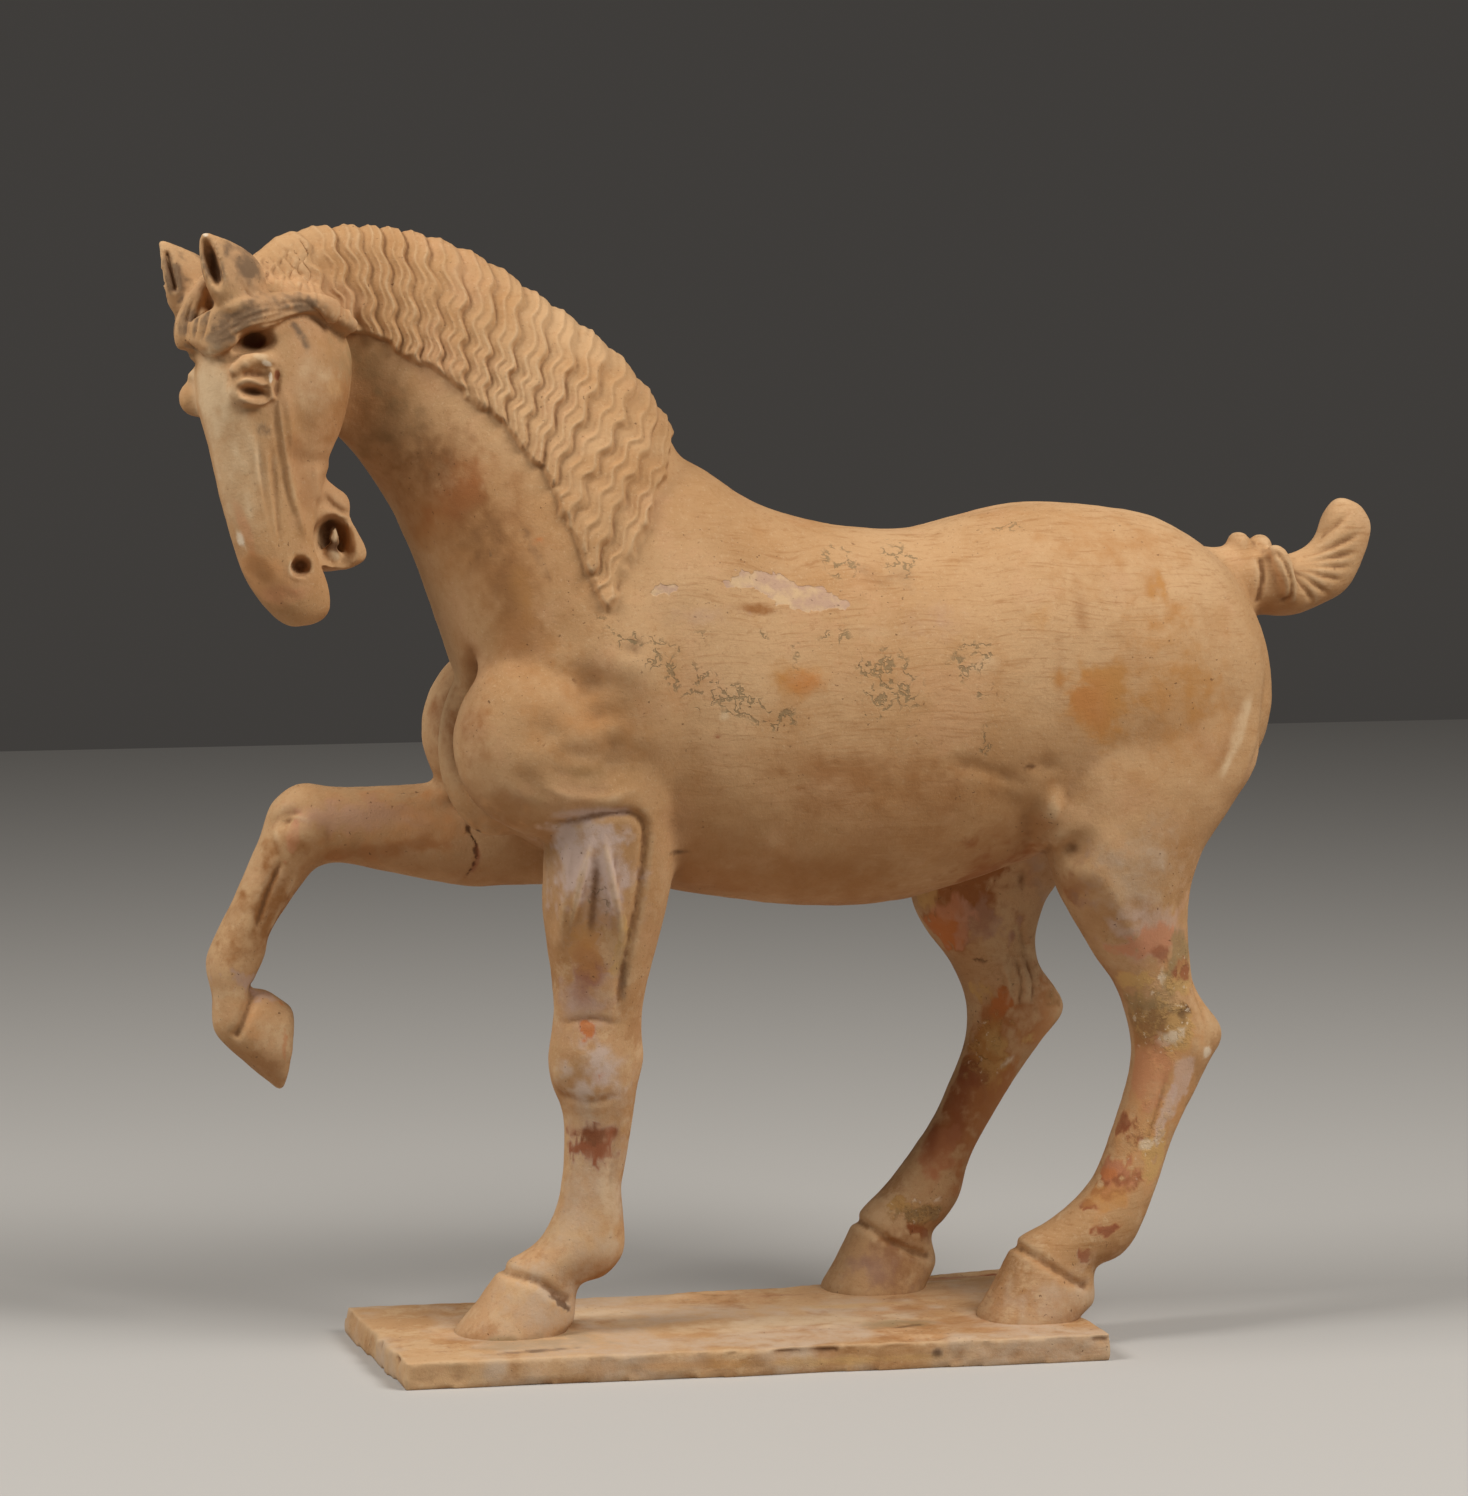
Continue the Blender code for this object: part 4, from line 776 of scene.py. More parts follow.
# Lumps and hollows of the left side and the raised foreleg: middle, half sizes and lift
LUMPS = (
    ((-69, 301), (9, 8), -3.4), ((-54, 309), (10, 9), 2), ((-84, 312), (9, 6), 1.2),
    ((-92, 294), (15, 13), 1.6), ((-75, 271), (13, 6), -2), ((-96, 270), (9, 8), 1.3),
    ((-62, 282), (7, 6), 1.4), ((143, 238), (9, 10), 2.8), ((147, 224), (5, 5.5), -3.2),
    ((152, 213), (8, 7), 1.8), ((150, 201), (4, 6), -1.8), ((161, 226), (6, 9), 1),
    ((133, 262), (6, 4), -1.2), ((210, 131), (5, 7), 1.2), ((-181, 231), (7, 6), 1.4),
    ((-171, 228), (4, 6), -1), ((-66, 138), (12, 9), 1.5), ((-80, 126), (4, 6), 1.2),
    ((190, 133), (8, 12), -1.2))
# Folds and tendons there: line, width and lift
TENDONS = (
    (((-98, 262), (-82, 254), (-62, 252), (-46, 258)), 2.8, 0.9),
    (((-92, 267), (-78, 262), (-64, 262)), 3, -0.6), (((86, 266), (106, 260), (126, 252)), 4, -1.2),
    (((130, 250), (129, 240), (131, 230), (135, 218)), 4.5, -1),
    (((140, 254), (138, 244), (140, 230), (144, 216)), 5, 1.8),
    (((-68, 237), (-73, 216), (-77, 190)), 1.5, 1.5), (((-64, 237), (-60, 216), (-54, 190)), 1.5, 1.5),
    (((-66, 228), (-67, 208), (-68, 188)), 2.2, -1.2),
    (((-84, 236), (-85, 214), (-83, 186)), 1.6, -1.1), (((-79, 236), (-79, 214), (-80, 190)), 1.4, 0.9),
    (((-82, 150), (-66, 153), (-50, 150)), 1.6, -0.7), (((-84, 120), (-66, 116), (-50, 119)), 2, -0.8),
    (((-190, 222), (-198, 203), (-204, 184)), 1.5, -1.5),
    (((-184, 214), (-192, 197), (-199, 182)), 1.2, 0.9),
    (((-176, 236), (-186, 238), (-193, 232), (-192, 222)), 1.4, 0.8),
    (((153, 166), (157, 154), (155, 140)), 1.4, -0.9), (((147, 168), (151, 154), (149, 138)), 1.4, -0.8),
    (((141, 166), (145, 152), (144, 140)), 1.2, 0.8), (((206, 172), (211, 152), (214, 136)), 1.6, -0.9),
    (((196, 128), (192, 108), (184, 84)), 1.8, -0.8),
    (((-205, 166), (-196, 160), (-190, 166)), 1.6, -0.8))


def carve_muscles(skin):
    """Lumps, hollows and tendons of the left side, and what the right raised leg shows."""
    hidden = behind_foreleg(skin.points)
    kept = skin.points[hidden].copy()
    dents(skin, SIDE_VIEW, LUMPS, NEAR)
    for line, width, lift in TENDONS:
        stroke(skin, SIDE_VIEW, line, width, lift, NEAR, fade=0.3)
    stroke(skin, SIDE_VIEW, CRACK, 0.8, -0.3, NEAR, fade=0.1)
    skin.points[hidden] = kept


def roughen(skin):
    """The unevenness of hand-modelled, weathered clay."""
    points = skin.points
    skin.push(0.35 * grain(points, 21, 11) + 0.18 * grain(points, 8, 12) + 0.07 * grain(points, 3, 13))


def sole(leg):
    """The toe, heel, near and far edges of a hoof's sole on the ground, in metres."""
    toe, _, heel, _, centre, half = leg[-1]
    return toe * UNIT, heel * UNIT, (centre - half) * UNIT, (centre + half) * UNIT


def slab_edges():
    """The slab's front, rear, near and far edges under the hooves, before it is centred."""
    front = sole(NEAR_FORE)[0] - SLAB_TOE_MARGIN
    rear = sole(NEAR_HIND)[1] + SLAB_HEEL_MARGIN
    near = sole(NEAR_HIND)[2] - SLAB_NEAR_MARGIN
    far = sole(FAR_HIND)[3] + SLAB_FAR_MARGIN
    return front, rear, near, far


def slab_outline(length, width, steps):
    """The slab's outline about its centre, with rough broken sides."""
    x, y = length / 2, width / 2
    corners = ((-x, -y + SLAB_FRONT_TAPER), (x, -y), (x, y),
               (-x - SLAB_FRONT_REACH, y - SLAB_FRONT_TAPER))
    points = []
    for i, (start, end) in enumerate(zip(corners, corners[1:] + corners[:1])):
        start, end = np.array(start), np.array(end)
        out = np.array([end[1] - start[1], start[0] - end[0]]) / np.linalg.norm(end - start)
        bow = SLAB_FAR_BOW if i == 2 else 0.0
        for k in range(steps):
            t = k / steps
            rough = math.sin(9.1 * t + 2.3 * i) * math.sin(23.7 * t + 1.1 * i)
            shift = (SLAB_CHIP * rough - bow) * math.sin(math.pi * t)
            points.append(start + (end - start) * t + out * shift)
    return np.array(points)


def mesh_object(name, clay, collection):
    bmesh.ops.recalc_face_normals(clay, faces=clay.faces)
    mesh = bpy.data.meshes.new(name)
    clay.to_mesh(mesh)
    clay.free()
    item = bpy.data.objects.new(name, mesh)
    collection.objects.link(item)
    return item


def bake_modifiers(item):
    graph = bpy.context.evaluated_depsgraph_get()
    mesh = bpy.data.meshes.new_from_object(item.evaluated_get(graph))
    item.modifiers.clear()
    item.data = mesh


def one_skin(item, voxel, rubbing):
    """One skin round all that the mesh holds, with the joins rubbed smooth."""
    remesh = item.modifiers.new("One skin", "REMESH")
    remesh.mode = "VOXEL"
    remesh.voxel_size = voxel
    rub = item.modifiers.new("Rubbed joins", "SMOOTH")
    rub.factor = 0.5
    rub.iterations = rubbing
    bake_modifiers(item)


def add_details(item, model):
    details = bmesh.new()
    model(details)
    mesh = bpy.data.meshes.new("Details")
    details.to_mesh(mesh)
    details.free()
    clay = bmesh.new()
    clay.from_mesh(item.data)
    clay.from_mesh(mesh)
    clay.to_mesh(item.data)
    clay.free()


def fewer_triangles(item, count):
    thin = item.modifiers.new("Fewer triangles", "DECIMATE")
    thin.use_collapse_triangulate = True
    thin.ratio = count / (2 * len(item.data.polygons))
    bake_modifiers(item)


def in_box(points, box):
    return np.all((points > box[0]) & (points < box[1]), axis=1)


def finest_parts(points):
    """Where the skin gets the finest modelling: the head, and the neck down to the mane's foot."""
    fine = in_box(HEAD_PROFILE.local(points), FINE_HEAD_BOX)
    page = points[:, (0, 2)]
    near_mane = by_mane(page)
    row, down, _ = lock_places(page[near_mane])
    fine[near_mane] |= (down < 1.1) & (row > -0.05) & (row < 1.05)
    return fine


def halve_steps(item, rubbing):
    """Split the mesh's faces where the finest modelling comes, and round the split skin."""
    fine = finest_parts(Skin(item.data).points)
    clay = bmesh.new()
    clay.from_mesh(item.data)
    edges = [edge for edge in clay.edges if fine[edge.verts[0].index] and fine[edge.verts[1].index]]
    bmesh.ops.subdivide_edges(clay, edges=edges, cuts=1, use_grid_fill=True)
    clay.to_mesh(item.data)
    clay.free()
    skin = Skin(item.data)
    fine = finest_parts(skin.points)
    skin.points[fine] = neighbour_means(item.data, skin.points, rubbing)[fine]
    skin.face_ways()


def neighbour_means(mesh, points, rounds):
    """Each vertex moved half way to the mean of its neighbours, so many times."""
    edges = np.empty(len(mesh.edges) * 2, np.int32)
    mesh.edges.foreach_get("vertices", edges)
    edges = edges.reshape(-1, 2)
    count = np.maximum(np.bincount(edges.ravel(), minlength=len(points)), 1)[:, None]
    mean = points
    for _ in range(rounds):
        total = np.zeros_like(points)
        for axis in range(3):
            total[:, axis] = (np.bincount(edges[:, 0], mean[edges[:, 1], axis], len(points))
                              + np.bincount(edges[:, 1], mean[edges[:, 0], axis], len(points)))
        mean = 0.5 * mean + 0.5 * total / count
    return mean


def model_figure(collection):
    figure = mesh_object("horse_clay", model_masses(), collection)
    one_skin(figure, MASS_VOXEL, MASS_RUB)
    add_details(figure, model_details)
    one_skin(figure, DETAIL_VOXEL, DETAIL_RUB)
    skin = Skin(figure.data)
    for carve in (carve_chest, carve_hindquarters, carve_legs, carve_pockets, carve_head, open_mouth):
        carve(skin)
        skin.face_ways()
    add_details(figure, model_mouth)
    one_skin(figure, FINE_VOXEL, FINE_RUB)
    halve_steps(figure, SPLIT_RUB)
    skin = Skin(figure.data)
    for carve in (carve_face, carve_muscles, carve_tail, carve_mane, roughen):
        carve(skin)
        skin.face_ways()
    fewer_triangles(figure, FIGURE_TRIANGLES)
    return figure


def part_of_figure(centres):
    """Which of the PIECES each triangle belongs to."""
    x, y, z = centres.T
    kind = np.where(x < BODY_JOIN, FOREHAND, QUARTERS)
    neck = (z > NECK_FOOT) & (x < NECK_BACK)
    kind[neck] = np.where(y < np.interp(x, *NECK_MIDDLE), NEAR_NECK, FAR_NECK)[neck]
    kind[in_box(HEAD_PROFILE.local(centres), HEAD_BOX)] = HEAD
    return kind


def cut_pieces(figure, page, place, collection):
    """The figure as its pieces in its place, each painted and shaded as on the whole skin."""
    skin = page.skin
    mesh = figure.data
    corners = np.empty(len(mesh.polygons) * 3, np.int32)
    mesh.polygons.foreach_get("vertices", corners)
    corners = corners.reshape(-1, 3)
    kind = part_of_figure(skin.points[corners].mean(axis=1))
    pieces = []
    for number, name in enumerate(PIECES):
        used, faces = np.unique(corners[kind == number], return_inverse=True)
        piece = bpy.data.meshes.new(name)
        piece.vertices.add(len(used))
        piece.vertices.foreach_set("co", skin.points[used].astype(np.float32).ravel())
        piece.loops.add(faces.size)
        piece.loops.foreach_set("vertex_index", faces.ravel().astype(np.int32))
        piece.polygons.add(faces.size // 3)
        piece.polygons.foreach_set("loop_start", np.arange(0, faces.size, 3, dtype=np.int32))
        piece.update(calc_edges=True)
        piece.shade_smooth()
        piece.normals_split_custom_set_from_vertices(skin.normals[used])
        page.keep(piece, used)
        piece.transform(place)
        item = bpy.data.objects.new(name, piece)
        collection.objects.link(item)
        pieces.append(item)
    bpy.data.objects.remove(figure)
    return pieces


# Lumps and hollows of the slab's top, from above: middle, half sizes and lift
SLAB_LUMPS = (
    ((36, -32), (10, 4), 0.9), ((20, -30), (7, 3), 0.7), ((-8, 46), (9, 5), 1.6),
    ((6, 50), (10, 3), 1.2), ((74, -66), (12, 5), -1.6), ((90, -70), (9, 4), 1.1),
    ((128, 66), (22, 4), -1.8), ((104, 48), (22, 5), 0.8), ((-120, 50), (26, 7), 0.7))


def model_slab(length, width, collection):
    """The slab, with rough broken sides and a worn, chipped top."""
    outline = slab_outline(length, width, SLAB_SIDE_STEPS) / UNIT
    at_front = ramp(-outline[:, 0], length / UNIT * 0.3, length / UNIT * 0.5)
    foot = outline.copy()
    foot[:, 0] -= SLAB_FRONT_SLOPE / UNIT * at_front * ramp(outline[:, 1], -80, 80)
    top = SLAB_THICKNESS / UNIT
    clay = bmesh.new()
    add_tube(clay, [np.column_stack([foot, np.zeros(len(foot))]),
                    np.column_stack([outline, np.full(len(foot), top)])])
    slab = mesh_object("horse_slab", clay, collection)
    one_skin(slab, SLAB_VOXEL, SLAB_RUB)
    skin = Skin(slab.data)
    points = skin.points
    above = ramp(points[:, 2], 0.5, 4)
    side_wall = 1 - ramp(np.abs(skin.normals[:, 2]), 0.2, 0.8)
    coarse = grain(points, 14, 21) + 0.6 * grain(points, 6, 22)
    skin.push(above * (side_wall * 0.9 * coarse + 0.4 * grain(points, 26, 23)
                       + 0.2 * grain(points, 7, 24) + 0.1 * grain(points, 2.8, 25)))
    chips = ramp(grain(points, 11, 26), 0.25, 0.75) * ramp(points[:, 2], 6, 12) * side_wall
    skin.push(-1.6 * chips)
    dents(skin, TOP_VIEW, SLAB_LUMPS, 1, firm=2)
    skin.points[:, 2] = np.maximum(skin.points[:, 2], 0)
    skin.face_ways()
    fewer_triangles(slab, SLAB_TRIANGLES)
    return slab


# The slip, its wear and what the burial left on it, with the tones of its painted shade and highlights,
# as linear colours
LIGHT_BUFF = (0.60, 0.375, 0.195)
BUFF = (0.475, 0.265, 0.118)
BROWN = (0.33, 0.142, 0.046)
OCHRE_BUFF = (0.45, 0.225, 0.085)
UMBER_BROWN = (0.20, 0.088, 0.034)
UMBER = (0.115, 0.052, 0.022)
DARK = (0.045, 0.022, 0.012)
CREAM = (0.66, 0.47, 0.28)
OCHRE = (0.49, 0.235, 0.07)
ORANGE = (0.52, 0.17, 0.05)
YELLOW = (0.58, 0.345, 0.13)
RED_BROWN = (0.30, 0.095, 0.04)
SALMON = (0.55, 0.235, 0.12)
MAUVE = (0.50, 0.33, 0.25)
LAVENDER = (0.64, 0.49, 0.42)
KHAKI = (0.33, 0.215, 0.10)
GREY_BROWN = (0.215, 0.13, 0.072)
GREY_GREEN = (0.19, 0.145, 0.075)
CHALK = (0.74, 0.60, 0.44)
WARM = (0.56, 0.28, 0.115)
TAWNY = (0.455, 0.22, 0.08)
ASH = (0.56, 0.41, 0.285)
PINK_BUFF = (0.58, 0.325, 0.17)
RED_CLAY = (0.43, 0.175, 0.062)
RUST = (0.31, 0.115, 0.036)

# Leg stains smaller than this, in units, are crisp and torn
SMALL_STAIN = 15
# Stains and painted shade seen from the left: the tone or mask, its middle, its half sizes, tilt and
# strength
BODY_STAINS = (
    (TAWNY, (-75, 285), (50, 46), 0, 0.4), (TAWNY, (-120, 365), (32, 70), 40, 0.4),
    (BROWN, (60, 252), (90, 22), 4, 0.4), (TAWNY, (190, 286), (50, 56), 0, 0.4),
    (TAWNY, (175, 356), (70, 26), 0, 0.4), (RUST, (-122, 285), (10, 34), 0, 0.4),
    ("scar", (13, 343), (16, 4.5), -12, 1), ("scar", (27, 337), (13, 5.5), -6, 1),
    ("scar", (3, 345), (9, 3), 6, 1), ("scar", (43, 334), (5, 1.8), 0, 1),
    # the brown blot just under the scars is a painted shadow
    ("scar", (-38, 342), (5, 2), 10, 0.8), (BROWN, (4, 333), (15, 3.5), -8, 0.7),
    (CREAM, (-12, 287), (3, 3), 0, 0.8), (RED_BROWN, (-14, 278), (4, 1.5), 0, 0.7),
    (OCHRE, (156, 291), (28, 22), -20, 0.8), (ORANGE, (152, 290), (18, 12), -40, 0.3),
    (OCHRE, (190, 300), (30, 34), 0, 0.3), (OCHRE, (129, 326), (8, 9), 30, 0.4),
    (OCHRE, (22, 303), (22, 13), 10, 0.5), (ORANGE, (24, 301), (11, 7), 0, 0.25),
    ("brown", (40, 262), (62, 19), 4, 0.75), ("brown", (-2, 268), (20, 9), 0, 0.5),
    ("brown", (62, 280), (30, 7), 0, 0.4), (UMBER, (126, 262), (5, 1.6), 0, 0.5),
    (OCHRE, (189, 341), (2.2, 9), 4, 0.6), (OCHRE, (184, 337), (2, 6), 0, 0.4),
    ("brown", (149, 330), (4, 18), 0, 0.5), ("brown", (138, 300), (3, 30), -4, 0.45),
    ("brown", (150, 224), (9, 9), 0, 0.6), (UMBER, (-27, 226), (8, 2.2), 0, 0.6),
    (GREY_BROWN, (-52, 318), (10, 6), 0, 0.35), (GREY_BROWN, (70, 344), (28, 9), -6, 0.25),
    (CREAM, (60, 322), (22, 5), -4, 0.3), (CREAM, (103, 306), (12, 9), 0, 0.35),
    # the brown and umber blots on the neck and shoulder below are painted shade under the mane and the
    # head
    ("brown", (-117, 366), (34, 62), 38, 1), ("brown", (-98, 325), (16, 26), 0, 0.8),
    (UMBER, (-128, 392), (22, 46), 42, 0.35), (UMBER, (-105, 352), (16, 34), 24, 0.25),
    ("brown", (-60, 290), (26, 20), 0, 0.35), ("brown", (-165, 420), (26, 34), 40, 0.9),
    (OCHRE, (-96, 340), (5, 14), 12, 0.35), ("brown", (210, 262), (7, 30), 28, 0.4),
    (CREAM, (224, 275), (4, 26), -22, 0.4), (OCHRE, (206, 300), (12, 20), 0, 0.2),
    (MAUVE, (88, 326), (24, 14), 0, 0.25), (MAUVE, (-20, 330), (18, 8), 0, 0.3),
    (KHAKI, (-162, 440), (24, 15), -42, 0.45), (KHAKI, (-145, 415), (14, 22), -30, 0.3),
    (GREY_BROWN, (-90, 356), (3, 16), 24, 0.4), (ORANGE, (-90, 363), (2.5, 2), 0, 0.7),
    (ORANGE, (-120, 385), (14, 24), -40, 0.25), (KHAKI, (-70, 262), (26, 8), 0, 0.25),
    ("brown", (170, 245), (22, 10), 30, 0.3))
CRACKLED = (((-44, 315), (26, 9), -32, 1), ((-14, 297), (26, 9), -18, 1), ((8, 286), (14, 8), -8, 0.9),
            ((-20, 321), (8, 4), 0, 0.6), ((3, 318), (9, 6), 0, 0.7), ((20, 314), (4, 10), 0, 0.7),
            ((40, 320), (8, 4), 0, 0.7), ((62, 300), (16, 20), -14, 0.9), ((57, 290), (9, 9), 0, 1),
            ((100, 308), (12, 13), 0, 0.8), ((104, 299), (6, 7), 0, 1), ((70, 283), (5, 4), 0, 0.8),
            ((105, 274), (2.5, 10), 0, 0.8), ((46, 352), (10, 9), 20, 0.9), ((74, 353), (12, 9), 0, 0.8),
            ((125, 366), (14, 3), 0, 0.5), ((-66, 206), (6, 9), 0, 0.7))
LEG_STAINS = (
    (RUST, (124, 196), (36, 34), 0, 0.9), (RED_CLAY, (134, 104), (26, 66), -24, 0.85),
    (BROWN, (90, 28), (22, 18), 0, 0.7), (WARM, (190, 120), (34, 96), -14, 0.6),
    (ASH, (-70, 80), (40, 74), 0, 0.4), (ASH, (150, 20), (50, 24), 0, 0.4),
    (ASH, (-90, 20), (40, 22), 0, 0.4), (ASH, (176, 214), (26, 30), 0, 0.4),
    (WARM, (-140, 236), (50, 20), 0, 0.6), (BROWN, (-195, 200), (18, 38), -22, 0.7),
    (WARM, (-205, 150), (18, 16), 0, 0.4), (RUST, (-150, 222), (36, 5), 6, 0.4),
    (MAUVE, (-68, 214), (22, 34), 4, 0.5), (LAVENDER, (-70, 224), (21, 26), 4, 0.5),
    (LAVENDER, (-86, 188), (4, 40), 2, 0.6), (MAUVE, (-69, 160), (20, 22), 0, 0.5),
    (LAVENDER, (-62, 128), (17, 12), 0, 0.5), (RED_BROWN, (-68, 176), (7, 18), 4, 0.6),
    (OCHRE, (-70, 190), (8, 13), 10, 0.5), (ORANGE, (-68, 150), (4.2, 4), 0, 0.9),
    (YELLOW, (-54, 190), (3, 13), -6, 0.6), (RED_BROWN, (-64, 101), (16, 4.5), 0, 1),
    (RED_BROWN, (-66, 96), (9, 7), 0, 0.9), (UMBER, (-66, 100), (7, 4), 10, 0.4),
    (ORANGE, (-63, 127), (3, 2), 0, 0.5), (UMBER, (-77, 25), (5, 1.6), -40, 0.7),
    (KHAKI, (-108, 11), (22, 3.5), 6, 0.8), ("brown", (-62, 80), (14, 14), 0, 0.35),
    (CREAM, (-56, 70), (6, 22), 0, 0.35), (GREY_BROWN, (-53, 178), (3, 32), 6, 0.45),
    (SALMON, (-187, 228), (2, 10), -14, 0.35), (ORANGE, (-191, 142), (1.2, 10), 0, 0.4),
    (MAUVE, (-204, 165), (11, 8), 0, 0.5), ("brown", (-199, 200), (3.5, 22), -22, 0.6),
    (MAUVE, (-160, 238), (30, 9), 0, 0.35), (BROWN, (-212, 178), (8, 5), 0, 0.3),
    (MAUVE, (184, 186), (20, 16), 0, 0.5), (SALMON, (183, 181), (11, 5), 10, 0.8),
    (RED_BROWN, (190, 176), (5, 2.5), 0, 0.6), (SALMON, (170, 178), (4, 3), 0, 0.6),
    (KHAKI, (190, 150), (21, 15), -8, 1), (KHAKI, (199, 166), (6, 14), -10, 0.9),
    (BROWN, (188, 142), (12, 9), 0, 0.5), (YELLOW, (201, 160), (7, 5), 0, 0.6),
    (YELLOW, (178, 163), (12, 3.5), 10, 0.8), (YELLOW, (202, 142), (6, 10), -10, 0.7),
    ("crust", (193, 150), (21, 24), -8, 1), ("crust", (186, 90), (14, 20), -20, 0.6),
    (RED_BROWN, (201, 167), (4.5, 3.5), 0, 0.85), (UMBER, (203, 150), (3.5, 3.5), 0, 0.8),
    (CHALK, (197, 138), (4, 2), 30, 0.8), (CHALK, (214, 131), (2, 3), 0, 0.8),
    (CHALK, (191, 164), (2, 3), 0, 0.7), (LAVENDER, (203, 120), (4, 10), -14, 0.35),
    (SALMON, (186, 120), (8, 12), -10, 0.5), (RED_BROWN, (175, 97.5), (7, 4), 20, 1),
    (RED_BROWN, (180, 92), (4, 2), 0, 0.7), (RED_BROWN, (172, 77), (10, 7), 10, 0.8),
    (SALMON, (172, 78), (9, 5.5), 10, 0.8), (ORANGE, (170, 76), (5, 3), 0, 0.7),
    (YELLOW, (190, 84), (6, 8), -20, 0.85), (CHALK, (186, 89), (3, 2), 0, 0.7),
    (RED_BROWN, (167.6, 52), (6, 3), 0, 0.95), (RED_BROWN, (160, 62), (4, 2), 0, 0.8),
    (RED_BROWN, (155, 42), (3.5, 3), 0, 0.6), (LAVENDER, (194, 101), (2, 12), -16, 0.45),
    (OCHRE, (165, 66), (9, 5), 0, 0.5), (YELLOW, (106.6, 192), (6, 6), 0, 0.7),
    (ORANGE, (115, 179.5), (8, 10), 20, 0.9), (SALMON, (116, 188), (8, 5), 0, 0.7),
    (MAUVE, (135, 182), (12, 13), 0, 0.3), (UMBER, (132, 164), (4, 1), -8, 0.6),
    (OCHRE, (138, 120), (13, 11), 0, 0.8), (YELLOW, (142, 124), (10, 5), 20, 0.8),
    (CHALK, (146, 117), (4, 1.5), 40, 0.7), ("crust", (138, 122), (12, 11), 0, 0.9),
    (RED_BROWN, (128, 112), (6, 8), 0, 0.6), (ORANGE, (143, 145), (5, 6), 0, 0.7),
    (YELLOW, (132, 148), (6, 5), 0, 0.5), (RED_BROWN, (124, 98), (9, 26), -14, 0.65),
    (SALMON, (112, 72), (8, 14), -20, 0.3), (YELLOW, (94, 52), (5, 3), 0, 0.85),
    (CHALK, (101, 54), (2, 1), 0, 0.9), (CHALK, (111, 54), (2, 1), 0, 0.8),
    (KHAKI, (105, 48), (10, 3.5), 0, 0.8), ("crust", (100, 50), (13, 5), 0, 0.8),
    (MAUVE, (80, 25), (18, 12), 0, 0.4), (RED_BROWN, (101, 40), (5, 2), -20, 0.4))
# Stains on the head's left side, on the page of FACE_VIEW; the umber in the eye, its pit, the nostril
# and the mouth and the brown under the eye and beside the face's crest are painted shade, and the chalk
# spots on the brow, beside the eye and at the ear's tip are painted highlights
HEAD_STAINS = (
    (UMBER, EYE_PIT, (6, 4.5), 0, 0.85), (UMBER, EYE, (5, 2), 14, 0.75),
    (CREAM, (6, 20), (16, 46), -14, 0.4), (CREAM, (-2, -8), (10, 14), 0, 0.4),
    ("brown", (13, 5), (6, 4), 0, 0.6), (GREY_BROWN, (20.5, 13.5), (4.2, 3), 10, 0.6),
    (RED_BROWN, (26.2, -10), (1.5, 3), 0, 0.8), (CHALK, (22, -15), (3, 1.6), 20, 0.6),
    (CHALK, (23.4, -9), (1, 3), 0, 0.7), (CREAM, (19, -18), (5, 2), 0, 0.5),
    (CREAM, (42, -6), (13, 16), 0, 0.35), (OCHRE, (51, -5), (4, 5), 0, 0.3),
    ("brown", (34, 22), (5, 9), -10, 0.7), ("brown", (38, 40), (4, 12), -10, 0.45),
    (WARM, (22, 78), (18, 12), 40, 0.6), (BROWN, (18, 72), (8, 5), 40, 0.5),
    (SALMON, (30, 84), (14, 5), 0, 0.3), (ORANGE, (12, 55), (3, 14), -20, 0.25),
    (UMBER, NOSTRIL, (3.2, 3), 0, 0.6), (CREAM, (31.5, 72), (1.6, 4), 0, 0.6),
    (UMBER, THROAT, (6, 9.5), 0, 0.7), (BROWN, (56, 60), (4, 9), -20, 0.8),
    (CREAM, (50.6, 58.5), (1.6, 3), 0, 0.9), (CREAM, (50, 68), (3.4, 2.2), 20, 0.7),
    (CHALK, (-3.6, -69.5), (1.3, 1.2), 0, 1), (CHALK, (10, 60), (2, 4), -20, 0.5),
    (OCHRE, (-15, -2), (6, 8), 0, 0.3))
PALE_STREAKS = (
    ((-5, -15), (-4, 6)), ((2.5, -8), (4.5, 18)), ((7, 10), (9, 30)), ((17.3, 16), (18.3, 36)),
    ((-1, 4), (2, 22)), ((24.6, 20), (25.4, 34)), ((12, 36), (15, 54)))
# Dark streaks there, the umber ones painted shade in the slits of the hair: tone, line, width and
# strength
DARK_STREAKS = ((GREY_BROWN, ((32, -34), (37, -27), (40, -20)), 1.7, 0.8),
                (UMBER, HAIR_SLIT, 1.5, 0.7),
                (UMBER, ((-2, -64), (0, -56), (3, -48)), 2.2, 0.75))
# The darker ears and forelock, both sides
DARK_HAIR = (
    ((-12, -54), (13, 17), 0, 0.8), ((-14, -33), (24, 7.5), 8, 0.85), ((-37, -33), (18, 5), -24, 0.6),
    ((5, -33), (8, 14), 0, 0.8), ((3, -53), (10, 12), 0, 0.75), ((1, -24), (7, 6), 0, 0.6))
# Stains seen from the right
FAR_STAINS = (
    (OCHRE, (120, 300), (30, 18), 10, 0.5), ("brown", (20, 262), (60, 20), 0, 0.7),
    ("brown", (-117, 360), (42, 60), 40, 0.5), (KHAKI, (190, 140), (14, 20), 0, 0.6),
    (MAUVE, (-70, 190), (20, 30), 0, 0.5), (RED_BROWN, (130, 100), (10, 24), -14, 0.5),
    (SALMON, (175, 80), (9, 10), 0, 0.5), ("crackle", (30, 300), (40, 24), 0, 0.7))
